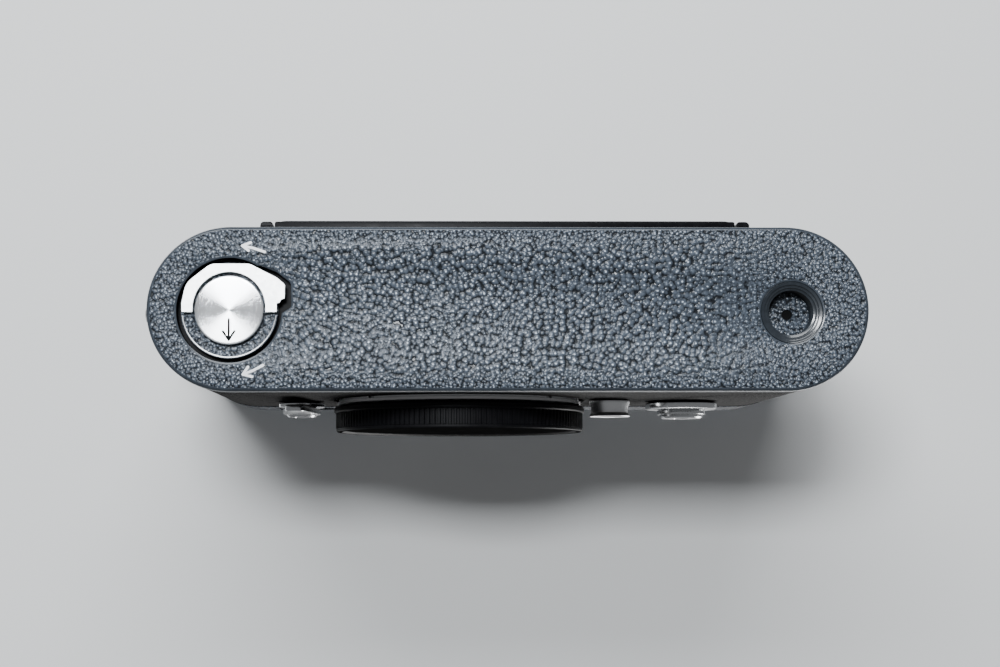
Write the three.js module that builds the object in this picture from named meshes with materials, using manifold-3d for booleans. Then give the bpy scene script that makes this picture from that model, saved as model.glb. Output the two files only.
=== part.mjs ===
// A 35 mm rangefinder film camera with a bayonet body cap, as an assembly of separate pieces.
// Millimetres. +Z is up, -Y is the front (lens side), +X is the photographer's left (rewind side).
// The origin is the centre of the base plate's lower face.
import * as THREE from 'three';
import { mergeVertices } from 'three/addons/utils/BufferGeometryUtils.js';
import Module from 'manifold-3d';

const wasm = await Module();
wasm.setup();

// ---- driving dimensions ----
const LENGTH = 138;
const END_R = 15.8;
const GAP = 0.3;
const PLATE_H = 3.2;
const PLATE_T = 1.2;
const RIM_T = 1.0;
const EDGE = 0.5;
const SHELL_R = 15.0;
const SHELL_T = 1.6;
const SKIN_T = 0.4;
const SHELL_TOP = 56.0;
const COVER_TOP = 72.3;
const COVER_T = 1.2;
const KEY = { x: 53.2, y: -0.3 };
const KEY_RECESS_R = 10.0;
const TURNTABLE_R = 9.25;
const KNOB_R = 6.6;
const SOCKET = { x: -54.1, y: -0.7 };
const SOCKET_R = 4.35;
const LENS = { x: 9.0, z: 36.0 };
const THROAT_R = 22.0;
const FLANGE_R = 25.6;
const FLANGE_FACE = -16.8;
const FRAME = { w: 36, h: 24 };
const FILM_PLANE = 11.0;
const DOOR = { x0: -44.2, x1: 45.1, z0: 4.0, z1: 53.3 };
const DOOR_FACE = 17.7;
const RIB_FACE = 17.4;
const DOOR_PIVOT = { y: 16.35, z: 54.6 };
const LEVER_X = -40.0;
const DIAL_X = -21.0;
const FINE = 14;
const ROUND = 24;
const PLAIN = 16;

// ---- derived sizes ----
const END_X = LENGTH / 2 - END_R;
const SHELL_BOTTOM = PLATE_H + GAP;
const COVER_BOTTOM = SHELL_TOP + GAP;
const SHELL_IN_R = SHELL_R - SHELL_T;
const SKIN_IN_R = SHELL_R + GAP;
const SKIN_OUT_R = SKIN_IN_R + SKIN_T;
const DECK_Z = COVER_TOP + GAP;
const SPOOL_X = -END_X;

// ---- materials ----
const finish = (color, roughness, metalness) => () =>
  new THREE.MeshStandardMaterial({ color, roughness, metalness });
const paint = finish(0x4b5057, 0.45, 0.3);
const covering = finish(0x17171a, 0.75, 0.0);
const blackMetal = finish(0x1b1b1d, 0.45, 0.5);
const blackPlastic = finish(0x111113, 0.5, 0.0);
const chrome = finish(0xc9ccd0, 0.18, 1.0);
const satin = finish(0xb9bcc0, 0.35, 1.0);
const brass = finish(0xb08d45, 0.35, 1.0);
const castAlloy = finish(0x75787c, 0.55, 0.8);
const glass = finish(0x8fa6ad, 0.05, 0.1);
const cloth = finish(0x0c0c0d, 0.9, 0.0);

const camera = new THREE.Group();

function add(name, geometry, makeMaterial) {
  const mesh = new THREE.Mesh(geometry, makeMaterial());
  mesh.name = name;
  camera.add(mesh);
  return mesh;
}

// ---- joining and cutting ----
function toSolid(geometry) {
  const bare = geometry.clone();
  bare.deleteAttribute('normal');
  bare.deleteAttribute('uv');
  const merged = mergeVertices(bare, 1e-4);
  const index = merged.index.array;
  const kept = [];
  for (let i = 0; i < index.length; i += 3) {
    const [a, b, c] = [index[i], index[i + 1], index[i + 2]];
    if (a !== b && b !== c && c !== a) kept.push(a, b, c);
  }
  const vertProperties = new Float32Array(merged.attributes.position.array);
  const triVerts = new Uint32Array(kept);
  return new wasm.Manifold(new wasm.Mesh({ numProp: 3, vertProperties, triVerts }));
}

function toGeometry(solid) {
  const mesh = solid.getMesh();
  const geometry = new THREE.BufferGeometry();
  geometry.setAttribute('position', new THREE.BufferAttribute(mesh.vertProperties, 3));
  geometry.setIndex(new THREE.BufferAttribute(mesh.triVerts, 1));
  geometry.computeVertexNormals();
  return geometry;
}

function join(...pieces) {
  return toGeometry(pieces.map(toSolid).reduce((a, b) => a.add(b)));
}

function cut(base, ...tools) {
  return toGeometry(tools.map(toSolid).reduce((a, b) => a.subtract(b), toSolid(base)));
}

// ---- outlines ----
function stadium(radius) {
  const shape = new THREE.Shape();
  shape.absarc(END_X, 0, radius, -Math.PI / 2, Math.PI / 2, false);
  shape.absarc(-END_X, 0, radius, Math.PI / 2, 3 * Math.PI / 2, false);
  shape.closePath();
  return shape;
}

function circle(x, y, radius) {
  const shape = new THREE.Shape();
  shape.absarc(x, y, radius, 0, 2 * Math.PI, false);
  return shape;
}

function polygon(points) {
  return new THREE.Shape(points.map(([x, y]) => new THREE.Vector2(x, y)));
}

function ringShape(x, y, outer, inner) {
  const shape = circle(x, y, outer);
  shape.holes.push(circle(x, y, inner));
  return shape;
}

// ---- solids ----
function upright(shape, z0, z1, segments = ROUND) {
  const options = { depth: z1 - z0, bevelEnabled: false, curveSegments: segments };
  return new THREE.ExtrudeGeometry(shape, options).translate(0, 0, z0);
}

// A shape drawn in X and Z, standing from y0 (front) to y1 (back).
function facing(shape, y0, y1, segments = ROUND) {
  const options = { depth: y1 - y0, bevelEnabled: false, curveSegments: segments };
  return new THREE.ExtrudeGeometry(shape, options).rotateX(Math.PI / 2).translate(0, y1, 0);
}

function block(x0, x1, y0, y1, z0, z1) {
  const box = new THREE.BoxGeometry(x1 - x0, y1 - y0, z1 - z0);
  return box.translate((x0 + x1) / 2, (y0 + y1) / 2, (z0 + z1) / 2);
}

function rod(x, y, radius, z0, z1, segments = PLAIN) {
  return upright(circle(x, y, radius), z0, z1, segments);
}

function rodY(x, z, radius, y0, y1, segments = PLAIN) {
  return facing(circle(x, z, radius), y0, y1, segments);
}

// A turned piece about the Y axis: profile points are [radius, y].
function turned(profile, x, z, segments = ROUND) {
  const area = profile.reduce((sum, [r, y], i) => {
    const [rn, yn] = profile[(i + 1) % profile.length];
    return sum + r * yn - rn * y;
  }, 0);
  const ordered = area > 0 ? profile : [...profile].reverse();
  const points = ordered.map(([r, y]) => new THREE.Vector2(r, y));
  return toGeometry(toSolid(new THREE.LatheGeometry(points, segments))).translate(x, 0, z);
}

// A turned piece about the Z axis: profile points are [radius, z].
function turnedZ(profile, x, y, segments = ROUND) {
  return turned(profile, 0, 0, segments).rotateX(Math.PI / 2).translate(x, y, 0);
}

// A turned piece about the X axis, its profile running outward along +X or -X.
function turnedX(profile, side, y, z, segments = 16) {
  return turned(profile, 0, 0, segments).rotateZ(-side * Math.PI / 2).translate(0, y, z);
}

// ---- base plate with its lock and tripod bush ----
function tabbedRecess(x, y) {
  const tab = polygon([
    [x - 6.0, y + 8.8], [x - 9.8, y + 7.2], [x - 11.7, y + 5.6],
    [x - 11.7, y + 0.3], [x - 9.6, y - 0.6], [x - 4.0, y],
  ]);
  return [rod(x, y, KEY_RECESS_R, -1, 2.6, ROUND), upright(tab, -1, 2.6)];
}

function basePlate() {
  const bevel = { bevelEnabled: true, bevelThickness: EDGE, bevelSize: EDGE, bevelOffset: -EDGE };
  const options = { depth: 4, bevelSegments: 2, curveSegments: FINE, ...bevel };
  const outer = new THREE.ExtrudeGeometry(stadium(END_R), options).translate(0, 0, EDGE);
  const over = block(-LENGTH, LENGTH, -END_R * 2, END_R * 2, PLATE_H, 10);
  const hollow = upright(stadium(END_R - RIM_T), PLATE_T, 10, FINE);
  const pan = cut(outer, over, hollow);
  const lockBoss = rod(KEY.x, KEY.y, 12.7, 0.9, 3.6, ROUND);
  const socketBoss = rod(SOCKET.x, SOCKET.y, 8.4, 0.9, 3.6);
  const hook = block(-65.6, -64.3, -4, 4, 0.9, 5.6);
  const holes = [
    ...tabbedRecess(KEY.x, KEY.y),
    rod(KEY.x, KEY.y, 2.4, 0, 5),
    rod(SOCKET.x, SOCKET.y, 6.2, -1, 5, ROUND),
  ];
  add('base_plate', cut(join(pan, lockBoss, socketBoss, hook), ...holes), paint);

  const bush = [
    [0.95, 5.2], [5.9, 5.2], [5.9, 0.1], [5.3, 0.1], [SOCKET_R, 0.7],
    [SOCKET_R, 4.6], [0.95, 4.6], [0.95, 5.2],
  ];
  add('tripod_bush', turnedZ(bush, SOCKET.x, SOCKET.y), satin);
}

function bailOutline(x, y) {
  const shape = new THREE.Shape();
  shape.moveTo(x + 9.0, y - 0.4);
  shape.lineTo(x + 9.1, y + 1.4);
  shape.quadraticCurveTo(x + 8.6, y + 6.6, x + 3.5, y + 8.9);
  shape.lineTo(x - 3.7, y + 8.9);
  shape.lineTo(x - 9.2, y + 6.0);
  shape.lineTo(x - 10.6, y + 4.9);
  shape.lineTo(x - 10.6, y + 2.2);
  shape.lineTo(x - 9.15, y + 1.9);
  shape.lineTo(x - 9.15, y - 0.4);
  shape.lineTo(x - 6.9, y - 0.4);
  shape.absarc(x, y + 0.45, 6.95, Math.PI, 0, true);
  shape.lineTo(x + 6.9, y - 0.4);
  shape.closePath();
  return shape;
}

function lock() {
  const step = circle(KEY.x, KEY.y, TURNTABLE_R);
  step.holes.push(circle(KEY.x, KEY.y, KNOB_R + GAP));
  const backHalf = block(KEY.x - 12, KEY.x + 12, KEY.y - 1.0, KEY.y + 12, -2, 1.3);
  const lowHalf = cut(upright(step, 0.12, 1.4, ROUND), backHalf);
  const disc = rod(KEY.x, KEY.y, TURNTABLE_R, 1.3, 2.3, ROUND);
  const table = cut(join(disc, lowHalf), rod(KEY.x, KEY.y, 2.2, 0, 5));
  add('lock_turntable', table, paint);

  const head = rod(KEY.x, KEY.y, KNOB_R, 0.12, 0.98, ROUND);
  add('lock_knob', join(head, rod(KEY.x, KEY.y, 1.8, 0.5, 5.0, 12)), satin);
  add('lock_bail', upright(bailOutline(KEY.x, KEY.y), 0.05, 0.75, 16), satin);

  const lobe = new THREE.Shape();
  lobe.absarc(KEY.x, KEY.y, 5.2, Math.PI / 2, 3 * Math.PI / 2, false);
  lobe.lineTo(KEY.x + 4.0, KEY.y - 4.6);
  lobe.absarc(KEY.x + 4.0, KEY.y, 4.6, -Math.PI / 2, Math.PI / 2, false);
  lobe.closePath();
  lobe.holes.push(circle(KEY.x, KEY.y, 2.1));
  add('lock_cam', upright(lobe, 3.9, 5.1, 12), brass);
}

// ---- body shell, its covering and the studs on its ends ----
function rib(x0, x1) {
  const r = (x1 - x0) / 2;
  const shape = new THREE.Shape();
  shape.moveTo(x0, SHELL_R - 0.8);
  shape.lineTo(x1, SHELL_R - 0.8);
  shape.lineTo(x1, RIB_FACE - r);
  shape.absarc(x0 + r, RIB_FACE - r, r, 0, Math.PI, false);
  shape.closePath();
  return upright(shape, SHELL_BOTTOM + 0.6, DOOR.z1, 8);
}

function bodyShell() {
  const wall = stadium(SHELL_R);
  wall.holes.push(stadium(SHELL_IN_R));
  const ribs = [rib(DOOR.x1 + 0.4, DOOR.x1 + 2.8), rib(DOOR.x0 - 2.8, DOOR.x0 - 0.4)];
  const shell = join(upright(wall, SHELL_BOTTOM, SHELL_TOP, FINE), ...ribs);
  const doorway = block(DOOR.x0 + 1.9, DOOR.x1 - 1.9, 9, 20, 7, 50.5);
  const throat = rodY(LENS.x, LENS.z, THROAT_R + GAP, -20, -10, 32);
  add('body_shell', cut(shell, doorway, throat), blackMetal);
}

function coveringPiece() {
  const skin = stadium(SKIN_OUT_R);
  skin.holes.push(stadium(SKIN_IN_R));
  const wrap = upright(skin, SHELL_BOTTOM + 0.5, SHELL_TOP - 0.4, FINE);
  const back = block(DOOR.x0 - 3.1, DOOR.x1 + 3.1, 0, 20, 0, 60);
  const mount = rodY(LENS.x, LENS.z, FLANGE_R + 0.6, -20, -10, 32);
  add('body_covering', cut(wrap, back, mount), covering);
}

function endStuds() {
  const start = LENGTH / 2 + 0.2;
  const lug = [
    [0, start], [3.1, start], [3.1, start + 0.7], [1.5, start + 1.1], [1.5, start + 2.6],
    [2.5, start + 3.1], [2.5, start + 3.8], [1.9, start + 4.3], [0, start + 4.3],
  ];
  for (const [side, word] of [[1, 'left'], [-1, 'right']]) {
    add(`strap_lug_${word}`, turnedX(lug, side, 0, 50, 12), chrome);
  }
  const stud = [[0, start], [1.95, start], [1.95, start + 1.6], [1.5, start + 2.0], [0, start + 2.0]];
  add('end_stud', turnedX(stud, 1, 0, 10, PLAIN), chrome);
}

// ---- back door, hinged along its upper edge ----
function backDoor() {
  const skinFace = DOOR_FACE - SKIN_T - GAP;
  const panel = block(DOOR.x0, DOOR.x1, SHELL_R + 0.4, skinFace, DOOR.z0, DOOR.z1);
  const inner = block(DOOR.x0 + 2.4, DOOR.x1 - 2.4, 13.6, SHELL_R + 0.5, 7.6, 50);
  const knuckles = [-30, 0.45, 31].map((x) => {
    const { y, z } = DOOR_PIVOT;
    const tube = upright(circle(0, 0, 1.15), 0, 12, 12).rotateY(Math.PI / 2).translate(x - 6, y, z);
    return join(tube, block(x - 6, x + 6, y - 0.55, y + 0.2, DOOR.z1 - 0.3, z - 0.9));
  });
  const { y, z } = DOOR_PIVOT;
  const bore = rod(0, 0, 0.8, -50, 50, 12).rotateY(Math.PI / 2).translate(0, y, z);
  const dialSeat = rodY(0.45, 30, 15.6, 16.6, 20, ROUND);
  add('back_door', cut(join(panel, inner, ...knuckles), bore, dialSeat), blackMetal);

  const leaf = block(DOOR.x0 + 0.8, DOOR.x1 - 0.8, DOOR_FACE - SKIN_T, DOOR_FACE, 5, 52.2);
  add('door_covering', cut(leaf, rodY(0.45, 30, 15.9, 10, 20, ROUND)), covering);

  const pin = rod(0, 0, 0.5, DOOR.x0 + 0.6, DOOR.x1 - 0.6, 10);
  add('door_hinge_pin', pin.rotateY(Math.PI / 2).translate(0, y, z), satin);

  const dial = [
    [0, 16.9], [15.2, 16.9], [15.2, 17.6], [14.8, 17.9], [12.2, 17.9], [11.8, 17.6], [0, 17.6],
  ];
  add('film_speed_dial', turned(dial, 0.45, 30), blackPlastic);

  const plate = block(LENS.x - 27, LENS.x + 19, FILM_PLANE + 0.3, FILM_PLANE + 1.4, 19, 53 - 4);
  add('pressure_plate', plate, blackMetal);
}

// ---- bayonet mount and its cap ----
function lensMount() {
  const screwR = 23.8;
  const angles = [45, 135, 225, 315].map((degrees) => degrees * Math.PI / 180);
  const places = angles.map((a) => [LENS.x + screwR * Math.cos(a), LENS.z + screwR * Math.sin(a)]);
  const ring = facing(ringShape(LENS.x, LENS.z, FLANGE_R, THROAT_R), FLANGE_FACE, -15.3, 40);
  const seats = places.map(([x, z]) => rodY(x, z, 1.6, -20, -10, 10));
  add('mount_ring', cut(ring, ...seats), chrome);
  places.forEach(([x, z], i) => {
    add(`mount_screw_${i + 1}`, rodY(x, z, 1.3, FLANGE_FACE, -15.3, 10), satin);
  });

  const seat = FLANGE_FACE - GAP;
  const cap = [
    [0, -20.6], [19.8, -20.6], [19.8, -13.8], [21.4, -13.8], [21.4, seat], [26.35, seat],
    [26.35, -18.2], [25.9, -18.4], [25.9, -21.8], [25.5, -22.3], [24.6, -22.3], [24.2, -21.9],
    [0, -21.9],
  ];
  add('body_cap', turned(cap, LENS.x, LENS.z, 40), blackPlastic);
}

// ---- controls on the front ----
function leverOutline(x, z, hubR, tipR, reach, angle) {
  const spread = Math.acos((hubR - tipR) / reach);
  const shape = new THREE.Shape();
  const tip = [x + reach * Math.cos(angle), z + reach * Math.sin(angle)];
  shape.absarc(x, z, hubR, angle + spread, angle - spread + 2 * Math.PI, false);
  shape.absarc(tip[0], tip[1], tipR, angle - spread, angle + spread, false);
  shape.closePath();
  return shape;
}

function frontControls() {
  const buttonX = -22.3;
  const buttonZ = 31;
  const guard = [
    [3.0, -16.0], [4.2, -16.0], [3.9, -18.6], [4.2, -19.2], [3.2, -19.2], [3.0, -18.9], [3.0, -16.0],
  ];
  add('release_guard', turned(guard, buttonX, buttonZ, PLAIN), satin);
  add('lens_release_button', rodY(buttonX, buttonZ, 2.65, -18.9, -17.4), satin);

  const selector = { x: 42.4, z: 38 };
  add('selector_flange', rodY(selector.x, selector.z, 4.9, -16.9, -16.0), chrome);
  const selectorArm = leverOutline(selector.x, selector.z, 4.0, 2.0, 16, -Math.PI / 2);
  const selectorHub = rodY(selector.x, selector.z, 3.2, -19.0, -17.5);
  add('selector_lever', join(facing(selectorArm, -18.3, -17.2, 16), selectorHub), chrome);

  const rewind = { x: -38.3, z: 38 };
  add('rewind_release_flange', rodY(rewind.x, rewind.z, 7.05, -16.9, -16.0), chrome);
  const rewindArm = leverOutline(rewind.x, rewind.z, 5.35, 2.2, 9, Math.PI / 2);
  const rewindHub = rodY(rewind.x, rewind.z, 3.9, -19.3, -17.5);
  add('rewind_release_lever', join(facing(rewindArm, -18.3, -17.2, 16), rewindHub), chrome);
}

// ---- film transport and shutter inside the body ----
function filmChamber() {
  const bore = 12.1;
  const cup = [
    [2.4, 53.3], [bore, 53.3], [bore, 4.6], [12.9, 4.6], [12.9, 54.5], [2.4, 54.5], [2.4, 53.3],
  ];
  add('film_chamber', turnedZ(cup, END_X, 0), castAlloy);
}

function shutter() {
  const halfW = 21;
  const halfH = 19;
  const wall = 1.6;
  const outer = block(LENS.x - halfW, LENS.x + halfW, -12.9, 5.6, LENS.z - halfH, LENS.z + halfH);
  const bore = block(LENS.x - halfW + wall, LENS.x + halfW - wall, -14, 7,
    LENS.z - halfH + wall, LENS.z + halfH - wall);
  const fingerSlot = block(4, 14, -12.2, -4.5, 50, 60);
  add('shutter_crate', cut(outer, bore, fingerSlot), castAlloy);

  const gate = block(LENS.x - 23, LENS.x + 23, 8.6, FILM_PLANE - 0.2, LENS.z - 19, LENS.z + 17);
  const frame = block(LENS.x - FRAME.w / 2, LENS.x + FRAME.w / 2, 5, 15,
    LENS.z - FRAME.h / 2, LENS.z + FRAME.h / 2);
  const channel = block(LENS.x - 30, LENS.x + 30, 10.3, 15, LENS.z - 15, LENS.z - 13.5);
  const channelTop = block(LENS.x - 30, LENS.x + 30, 10.3, 15, LENS.z + 13.5, LENS.z + 15);
  add('film_gate', cut(gate, frame, channel, channelTop), blackMetal);

  add('first_curtain', block(-16.2, -9.6, 6.3, 6.6, 21, 51), cloth);
  add('second_curtain', block(-12.4, 34.8, 7.1, 7.4, 21, 51), cloth);
  for (const [name, x] of [['curtain_drum', -16.6], ['spring_roller', 35.2]]) {
    const profile = [
      [0, 16], [1.4, 16], [1.4, 18], [3.6, 18], [3.6, 53], [1.4, 53], [1.4, 60], [0, 60],
    ];
    add(name, turnedZ(profile, x, 2.4, PLAIN), satin);
  }
}

function gear(x, y, pitchR, teeth, z0, z1) {
  const points = [];
  const tooth = 0.35;
  const step = 2 * Math.PI / teeth;
  for (let i = 0; i < teeth; i += 1) {
    for (const [part, grow] of [[0, -tooth], [0.3, -tooth], [0.45, tooth], [0.8, tooth]]) {
      const a = (i + part) * step;
      const r = pitchR + grow;
      points.push([x + r * Math.cos(a), y + r * Math.sin(a)]);
    }
  }
  return upright(polygon(points), z0, z1);
}

function transport() {
  const spool = turnedZ([
    [0, 8], [8.6, 8], [8.6, 9.4], [5.6, 9.8], [5.6, 45], [8.6, 45.4], [8.6, 46.8], [2.2, 47.2],
    [2.2, 64.4], [0, 64.4],
  ], SPOOL_X, 0, PLAIN);
  const slot = block(SPOOL_X - 0.7, SPOOL_X + 0.7, -8, -2.5, 14, 41);
  add('takeup_spool', join(cut(spool, slot), gear(SPOOL_X, 0, 3.55, 10, 64, 66.4)), satin);

  const teethZ = [[19, 21.4], [50.6, 53]];
  const sprocketX = -30;
  const sprocketY = 7.4;
  const shaft = rod(sprocketX, sprocketY, 3.4, 14, 54.5, 12);
  const wheels = teethZ.map(([z0, z1]) => gear(sprocketX, sprocketY, 4.5, 8, z0, z1));
  const tail = rod(sprocketX, sprocketY, 1.6, 54, 62, 12);
  add('sprocket_shaft', join(shaft, ...wheels, tail), brass);

  const hub = rod(LEVER_X, 0, 2.3, 59, 70.4, 16);
  add('wind_gear', join(gear(LEVER_X, 0, 8.7, 24, 64, 66.4), hub), brass);
}

function gearDeck() {
  const deck = upright(stadium(13.3), 56.8, 58.0, 8);
  const holes = [
    rod(SPOOL_X, 0, 2.7, 50, 60, 10),
    rod(-30, 7.4, 2.1, 50, 60, 10),
    rod(-16.6, 2.4, 1.9, 50, 60, 10),
    rod(35.2, 2.4, 1.9, 50, 60, 10),
    rod(END_X, 0, 2.6, 50, 60, 10),
    block(4, 14, -12.2, -4.5, 50, 60),
  ];
  add('gear_deck', cut(deck, ...holes), brass);
}

// ---- rangefinder and viewfinder ----
const RF_PIVOT = { x: 33, y: -11 };

function finder() {
  add('viewfinder_block', block(2, 48.6, -11.5, 10.5, 60.4, 69.8), glass);
  const arm = block(8, 33, -12.0, -10.2, 58.5, 59.7);
  const finger = block(8, 10, -12.0, -10.2, 50.6, 59);
  const roller = rod(9, -11, 2.6, 49, 51.2, 12);
  const boss = rod(RF_PIVOT.x, RF_PIVOT.y, 2.4, 58.5, 59.7, 12);
  add('rangefinder_arm', join(arm, finger, roller, boss), brass);
}

const WINDOWS = [
  { name: 'viewfinder_window', x: 43.6, z: 65, w: 12.6, h: 8.4 },
  { name: 'illumination_window', x: 24.5, z: 65, w: 15, h: 6.4 },
  { name: 'rangefinder_window', x: 4.5, z: 66.8, w: 5.4, h: 4 },
];
const EYEPIECE = { x: 44, z: 64.6 };
const SOCKETS = [{ x: 24 }, { x: 14 }];
const COUNTER = { x: -54.5, y: -4.5 };

function topCover() {
  const outer = upright(stadium(END_R), COVER_BOTTOM, COVER_TOP, FINE);
  const hollow = upright(stadium(END_R - RIM_T), COVER_BOTTOM - 2, COVER_TOP - COVER_T, FINE);
  const openings = WINDOWS.map(({ x, z, w, h }) =>
    block(x - w / 2, x + w / 2, -20, -10, z - h / 2, z + h / 2));
  const holes = [
    rodY(EYEPIECE.x, EYEPIECE.z, 5.3, 10, 20),
    ...SOCKETS.map(({ x }) => rodY(x, 64, 3.1, 10, 20, 12)),
    rod(LEVER_X, 0, 3.4, 65, 80),
    rod(END_X, 0, 4.3, 65, 80),
    rod(COUNTER.x, COUNTER.y, 3.9, 65, 80),
  ];
  const mountNotch = rodY(LENS.x, LENS.z, FLANGE_R + 0.6, -20, -13, 32);
  add('top_cover', cut(outer, hollow, mountNotch, ...openings, ...holes), paint);

  for (const { name, x, z, w, h } of WINDOWS) {
    const pane = block(x - w / 2 + GAP, x + w / 2 - GAP, -15.5, -14.3, z - h / 2 + GAP, z + h / 2 - GAP);
    add(name, pane, glass);
  }
  const eye = [
    [0, 13.6], [3.6, 13.6], [5.0, 14.2], [5.0, 16.6], [4.6, 17.1], [3.8, 17.1], [3.4, 16.2], [0, 16.2],
  ];
  add('eyepiece', turned(eye, EYEPIECE.x, EYEPIECE.z, PLAIN), blackMetal);
  SOCKETS.forEach(({ x }, i) => {
    const socket = [[0, 13.6], [2.8, 13.6], [2.8, 16.3], [1.6, 16.3], [1.6, 14.6], [0, 14.6]];
    add(`flash_socket_${i + 1}`, turned(socket, x, 64, 12), satin);
  });
}

function topControls() {
  const rail = 10.8;
  const shoe = polygon([
    [-rail, 0], [rail, 0], [rail, 3.3], [rail - 2.6, 3.3], [rail - 2.6, 2.3], [rail - 1.1, 2.3],
    [rail - 1.1, 1.1], [-rail + 1.1, 1.1], [-rail + 1.1, 2.3], [-rail + 2.6, 2.3],
    [-rail + 2.6, 3.3], [-rail, 3.3],
  ]);
  add('accessory_shoe', facing(shoe, -8, 9).translate(LENS.x, 0, DECK_Z), chrome);

  const dial = [
    [0, DECK_Z], [7.4, DECK_Z], [7.4, 75.6], [6.9, 76.2], [0, 76.2],
  ];
  add('shutter_speed_dial', turnedZ(dial, DIAL_X, 0, 32), satin);

  const arm = new THREE.Shape();
  arm.moveTo(LEVER_X + 2, 6);
  arm.quadraticCurveTo(LEVER_X - 12, 13.2, LEVER_X - 23, 14.2);
  arm.absarc(LEVER_X - 23.4, 11.8, 2.4, Math.PI / 2, 3 * Math.PI / 2, false);
  arm.quadraticCurveTo(LEVER_X - 15, 8.2, LEVER_X - 6.5, -3);
  arm.closePath();
  const hub = rod(LEVER_X, 0, 8.4, DECK_Z, 74.3, ROUND);
  const lever = join(hub, upright(arm, DECK_Z + 0.2, 74.3, 10));
  add('advance_lever', cut(lever, rod(LEVER_X, 0, 3.4, 70, 80)), satin);
  const collar = ringShape(LEVER_X, 0, 4.9, 3.5);
  add('release_collar', upright(collar, 74.6, 75.5, PLAIN), chrome);
  const button = [[0, 72.4], [3.0, 72.4], [3.0, 75.8], [2.5, 76.3], [0, 76.3]];
  add('shutter_button', turnedZ(button, LEVER_X, 0, PLAIN), chrome);

  add('counter_disc', rod(COUNTER.x, COUNTER.y, 6, 69.3, 70.1), blackPlastic);
  add('counter_window', rod(COUNTER.x, COUNTER.y, 3.6, 71.2, 72.5), glass);
}

function rewind() {
  const knob = [
    [0, 73.4], [6.6, 73.4], [7.2, 73.9], [7.2, 76.5], [6.7, 77], [0, 77],
  ];
  const stem = rod(END_X, 0, 1.8, 44, 74, 16);
  const fork = block(END_X - 2.9, END_X + 2.9, -0.8, 0.8, 44, 47);
  add('rewind_knob', join(turnedZ(knob, END_X, 0, 32), stem, fork), satin);
  add('rewind_sleeve', upright(ringShape(END_X, 0, 4.0, 2.2), 70.3, 73.1, PLAIN), chrome);
}

basePlate();
lock();
bodyShell();
coveringPiece();
endStuds();
backDoor();
lensMount();
frontControls();
filmChamber();
shutter();
transport();
gearDeck();
finder();
topCover();
topControls();
rewind();

export default camera;
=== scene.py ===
# %% [markdown]
# # A rangefinder film camera, seen from below
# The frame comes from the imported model, so every piece is placed from the box of the CAD node that it
# stands for. Lengths below are in millimetres and are turned into metres once, in mm().

# %% Load the frame
import math

import bpy
from mathutils import Matrix, Vector


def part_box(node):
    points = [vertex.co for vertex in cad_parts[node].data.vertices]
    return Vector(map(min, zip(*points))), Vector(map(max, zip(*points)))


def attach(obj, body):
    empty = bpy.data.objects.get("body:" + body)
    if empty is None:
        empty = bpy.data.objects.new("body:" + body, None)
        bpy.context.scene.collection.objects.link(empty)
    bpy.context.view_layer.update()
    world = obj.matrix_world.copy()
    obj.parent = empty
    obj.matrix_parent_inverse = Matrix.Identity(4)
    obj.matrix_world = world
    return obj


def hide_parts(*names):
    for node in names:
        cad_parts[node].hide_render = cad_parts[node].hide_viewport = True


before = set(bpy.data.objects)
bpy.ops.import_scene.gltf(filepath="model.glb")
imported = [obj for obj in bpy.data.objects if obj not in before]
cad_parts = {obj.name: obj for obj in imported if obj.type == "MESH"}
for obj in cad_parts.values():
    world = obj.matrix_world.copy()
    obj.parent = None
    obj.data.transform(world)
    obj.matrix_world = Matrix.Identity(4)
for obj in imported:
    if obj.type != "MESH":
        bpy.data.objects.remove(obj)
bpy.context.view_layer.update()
MM = 0.001
FRONT = (math.pi / 2, 0, 0)
BACK = (-math.pi / 2, 0, 0)


def mm(x, y, z):
    return Vector((x, y, z)) * MM


class Span:
    """The box of a CAD node, in millimetres."""

    def __init__(self, node):
        low, high = (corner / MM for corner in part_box(node))
        self.x0, self.y0, self.z0 = low
        self.x1, self.y1, self.z1 = high
        self.x, self.y, self.z = (low + high) / 2


# %% [markdown]
# ## The camera and the studio
# The object is looked at from straight below, a little towards its front and its rewind end. The floor is
# one-sided: one sheet under the camera body is seen only from above, and one sheet behind it is seen only
# from below, and neither stops light, so that every side of the object is lit softly.

# %% Camera
EYE = mm(13.2, -34.4, -304.2)
LOOK = Vector((-0.0128, 0.0969, 0.9952))
UP = Vector((0.0001, 0.9953, -0.0970))
camera_data = bpy.data.cameras.new("view")
camera_data.sensor_width = 36
camera_data.lens = 57.9
camera_data.shift_x = 0.04
camera_data.clip_start = 0.01
camera = bpy.data.objects.new("view", camera_data)
bpy.context.scene.collection.objects.link(camera)
side = LOOK.cross(UP).normalized()
axes = Matrix((side, side.cross(LOOK).normalized(), -LOOK.normalized())).transposed()
camera.matrix_world = Matrix.Translation(EYE) @ axes.to_4x4()
bpy.context.scene.camera = camera
print("camera", round(EYE.length / MM), "mm from the origin")


# %% A small kit for materials
def new_material(name, color, roughness, metallic=0.0, **sockets):
    material = bpy.data.materials.new(name)
    material.use_nodes = True
    shader = material.node_tree.nodes["Principled BSDF"]
    shader.inputs["Base Color"].default_value = (*color, 1)
    shader.inputs["Roughness"].default_value = roughness
    shader.inputs["Metallic"].default_value = metallic
    for socket, value in sockets.items():
        shader.inputs[socket.replace("_", " ")].default_value = value
    return material


def feed(material, value, socket):
    if isinstance(value, bpy.types.NodeSocket):
        material.node_tree.links.new(value, socket)
    else:
        socket.default_value = value


def put(material, kind, settings=(), **inputs):
    node = material.node_tree.nodes.new("ShaderNode" + kind)
    for name, value in dict(settings).items():
        setattr(node, name, value)
    for socket, value in inputs.items():
        feed(material, value, node.inputs[socket.replace("_", " ")])
    return node


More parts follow.
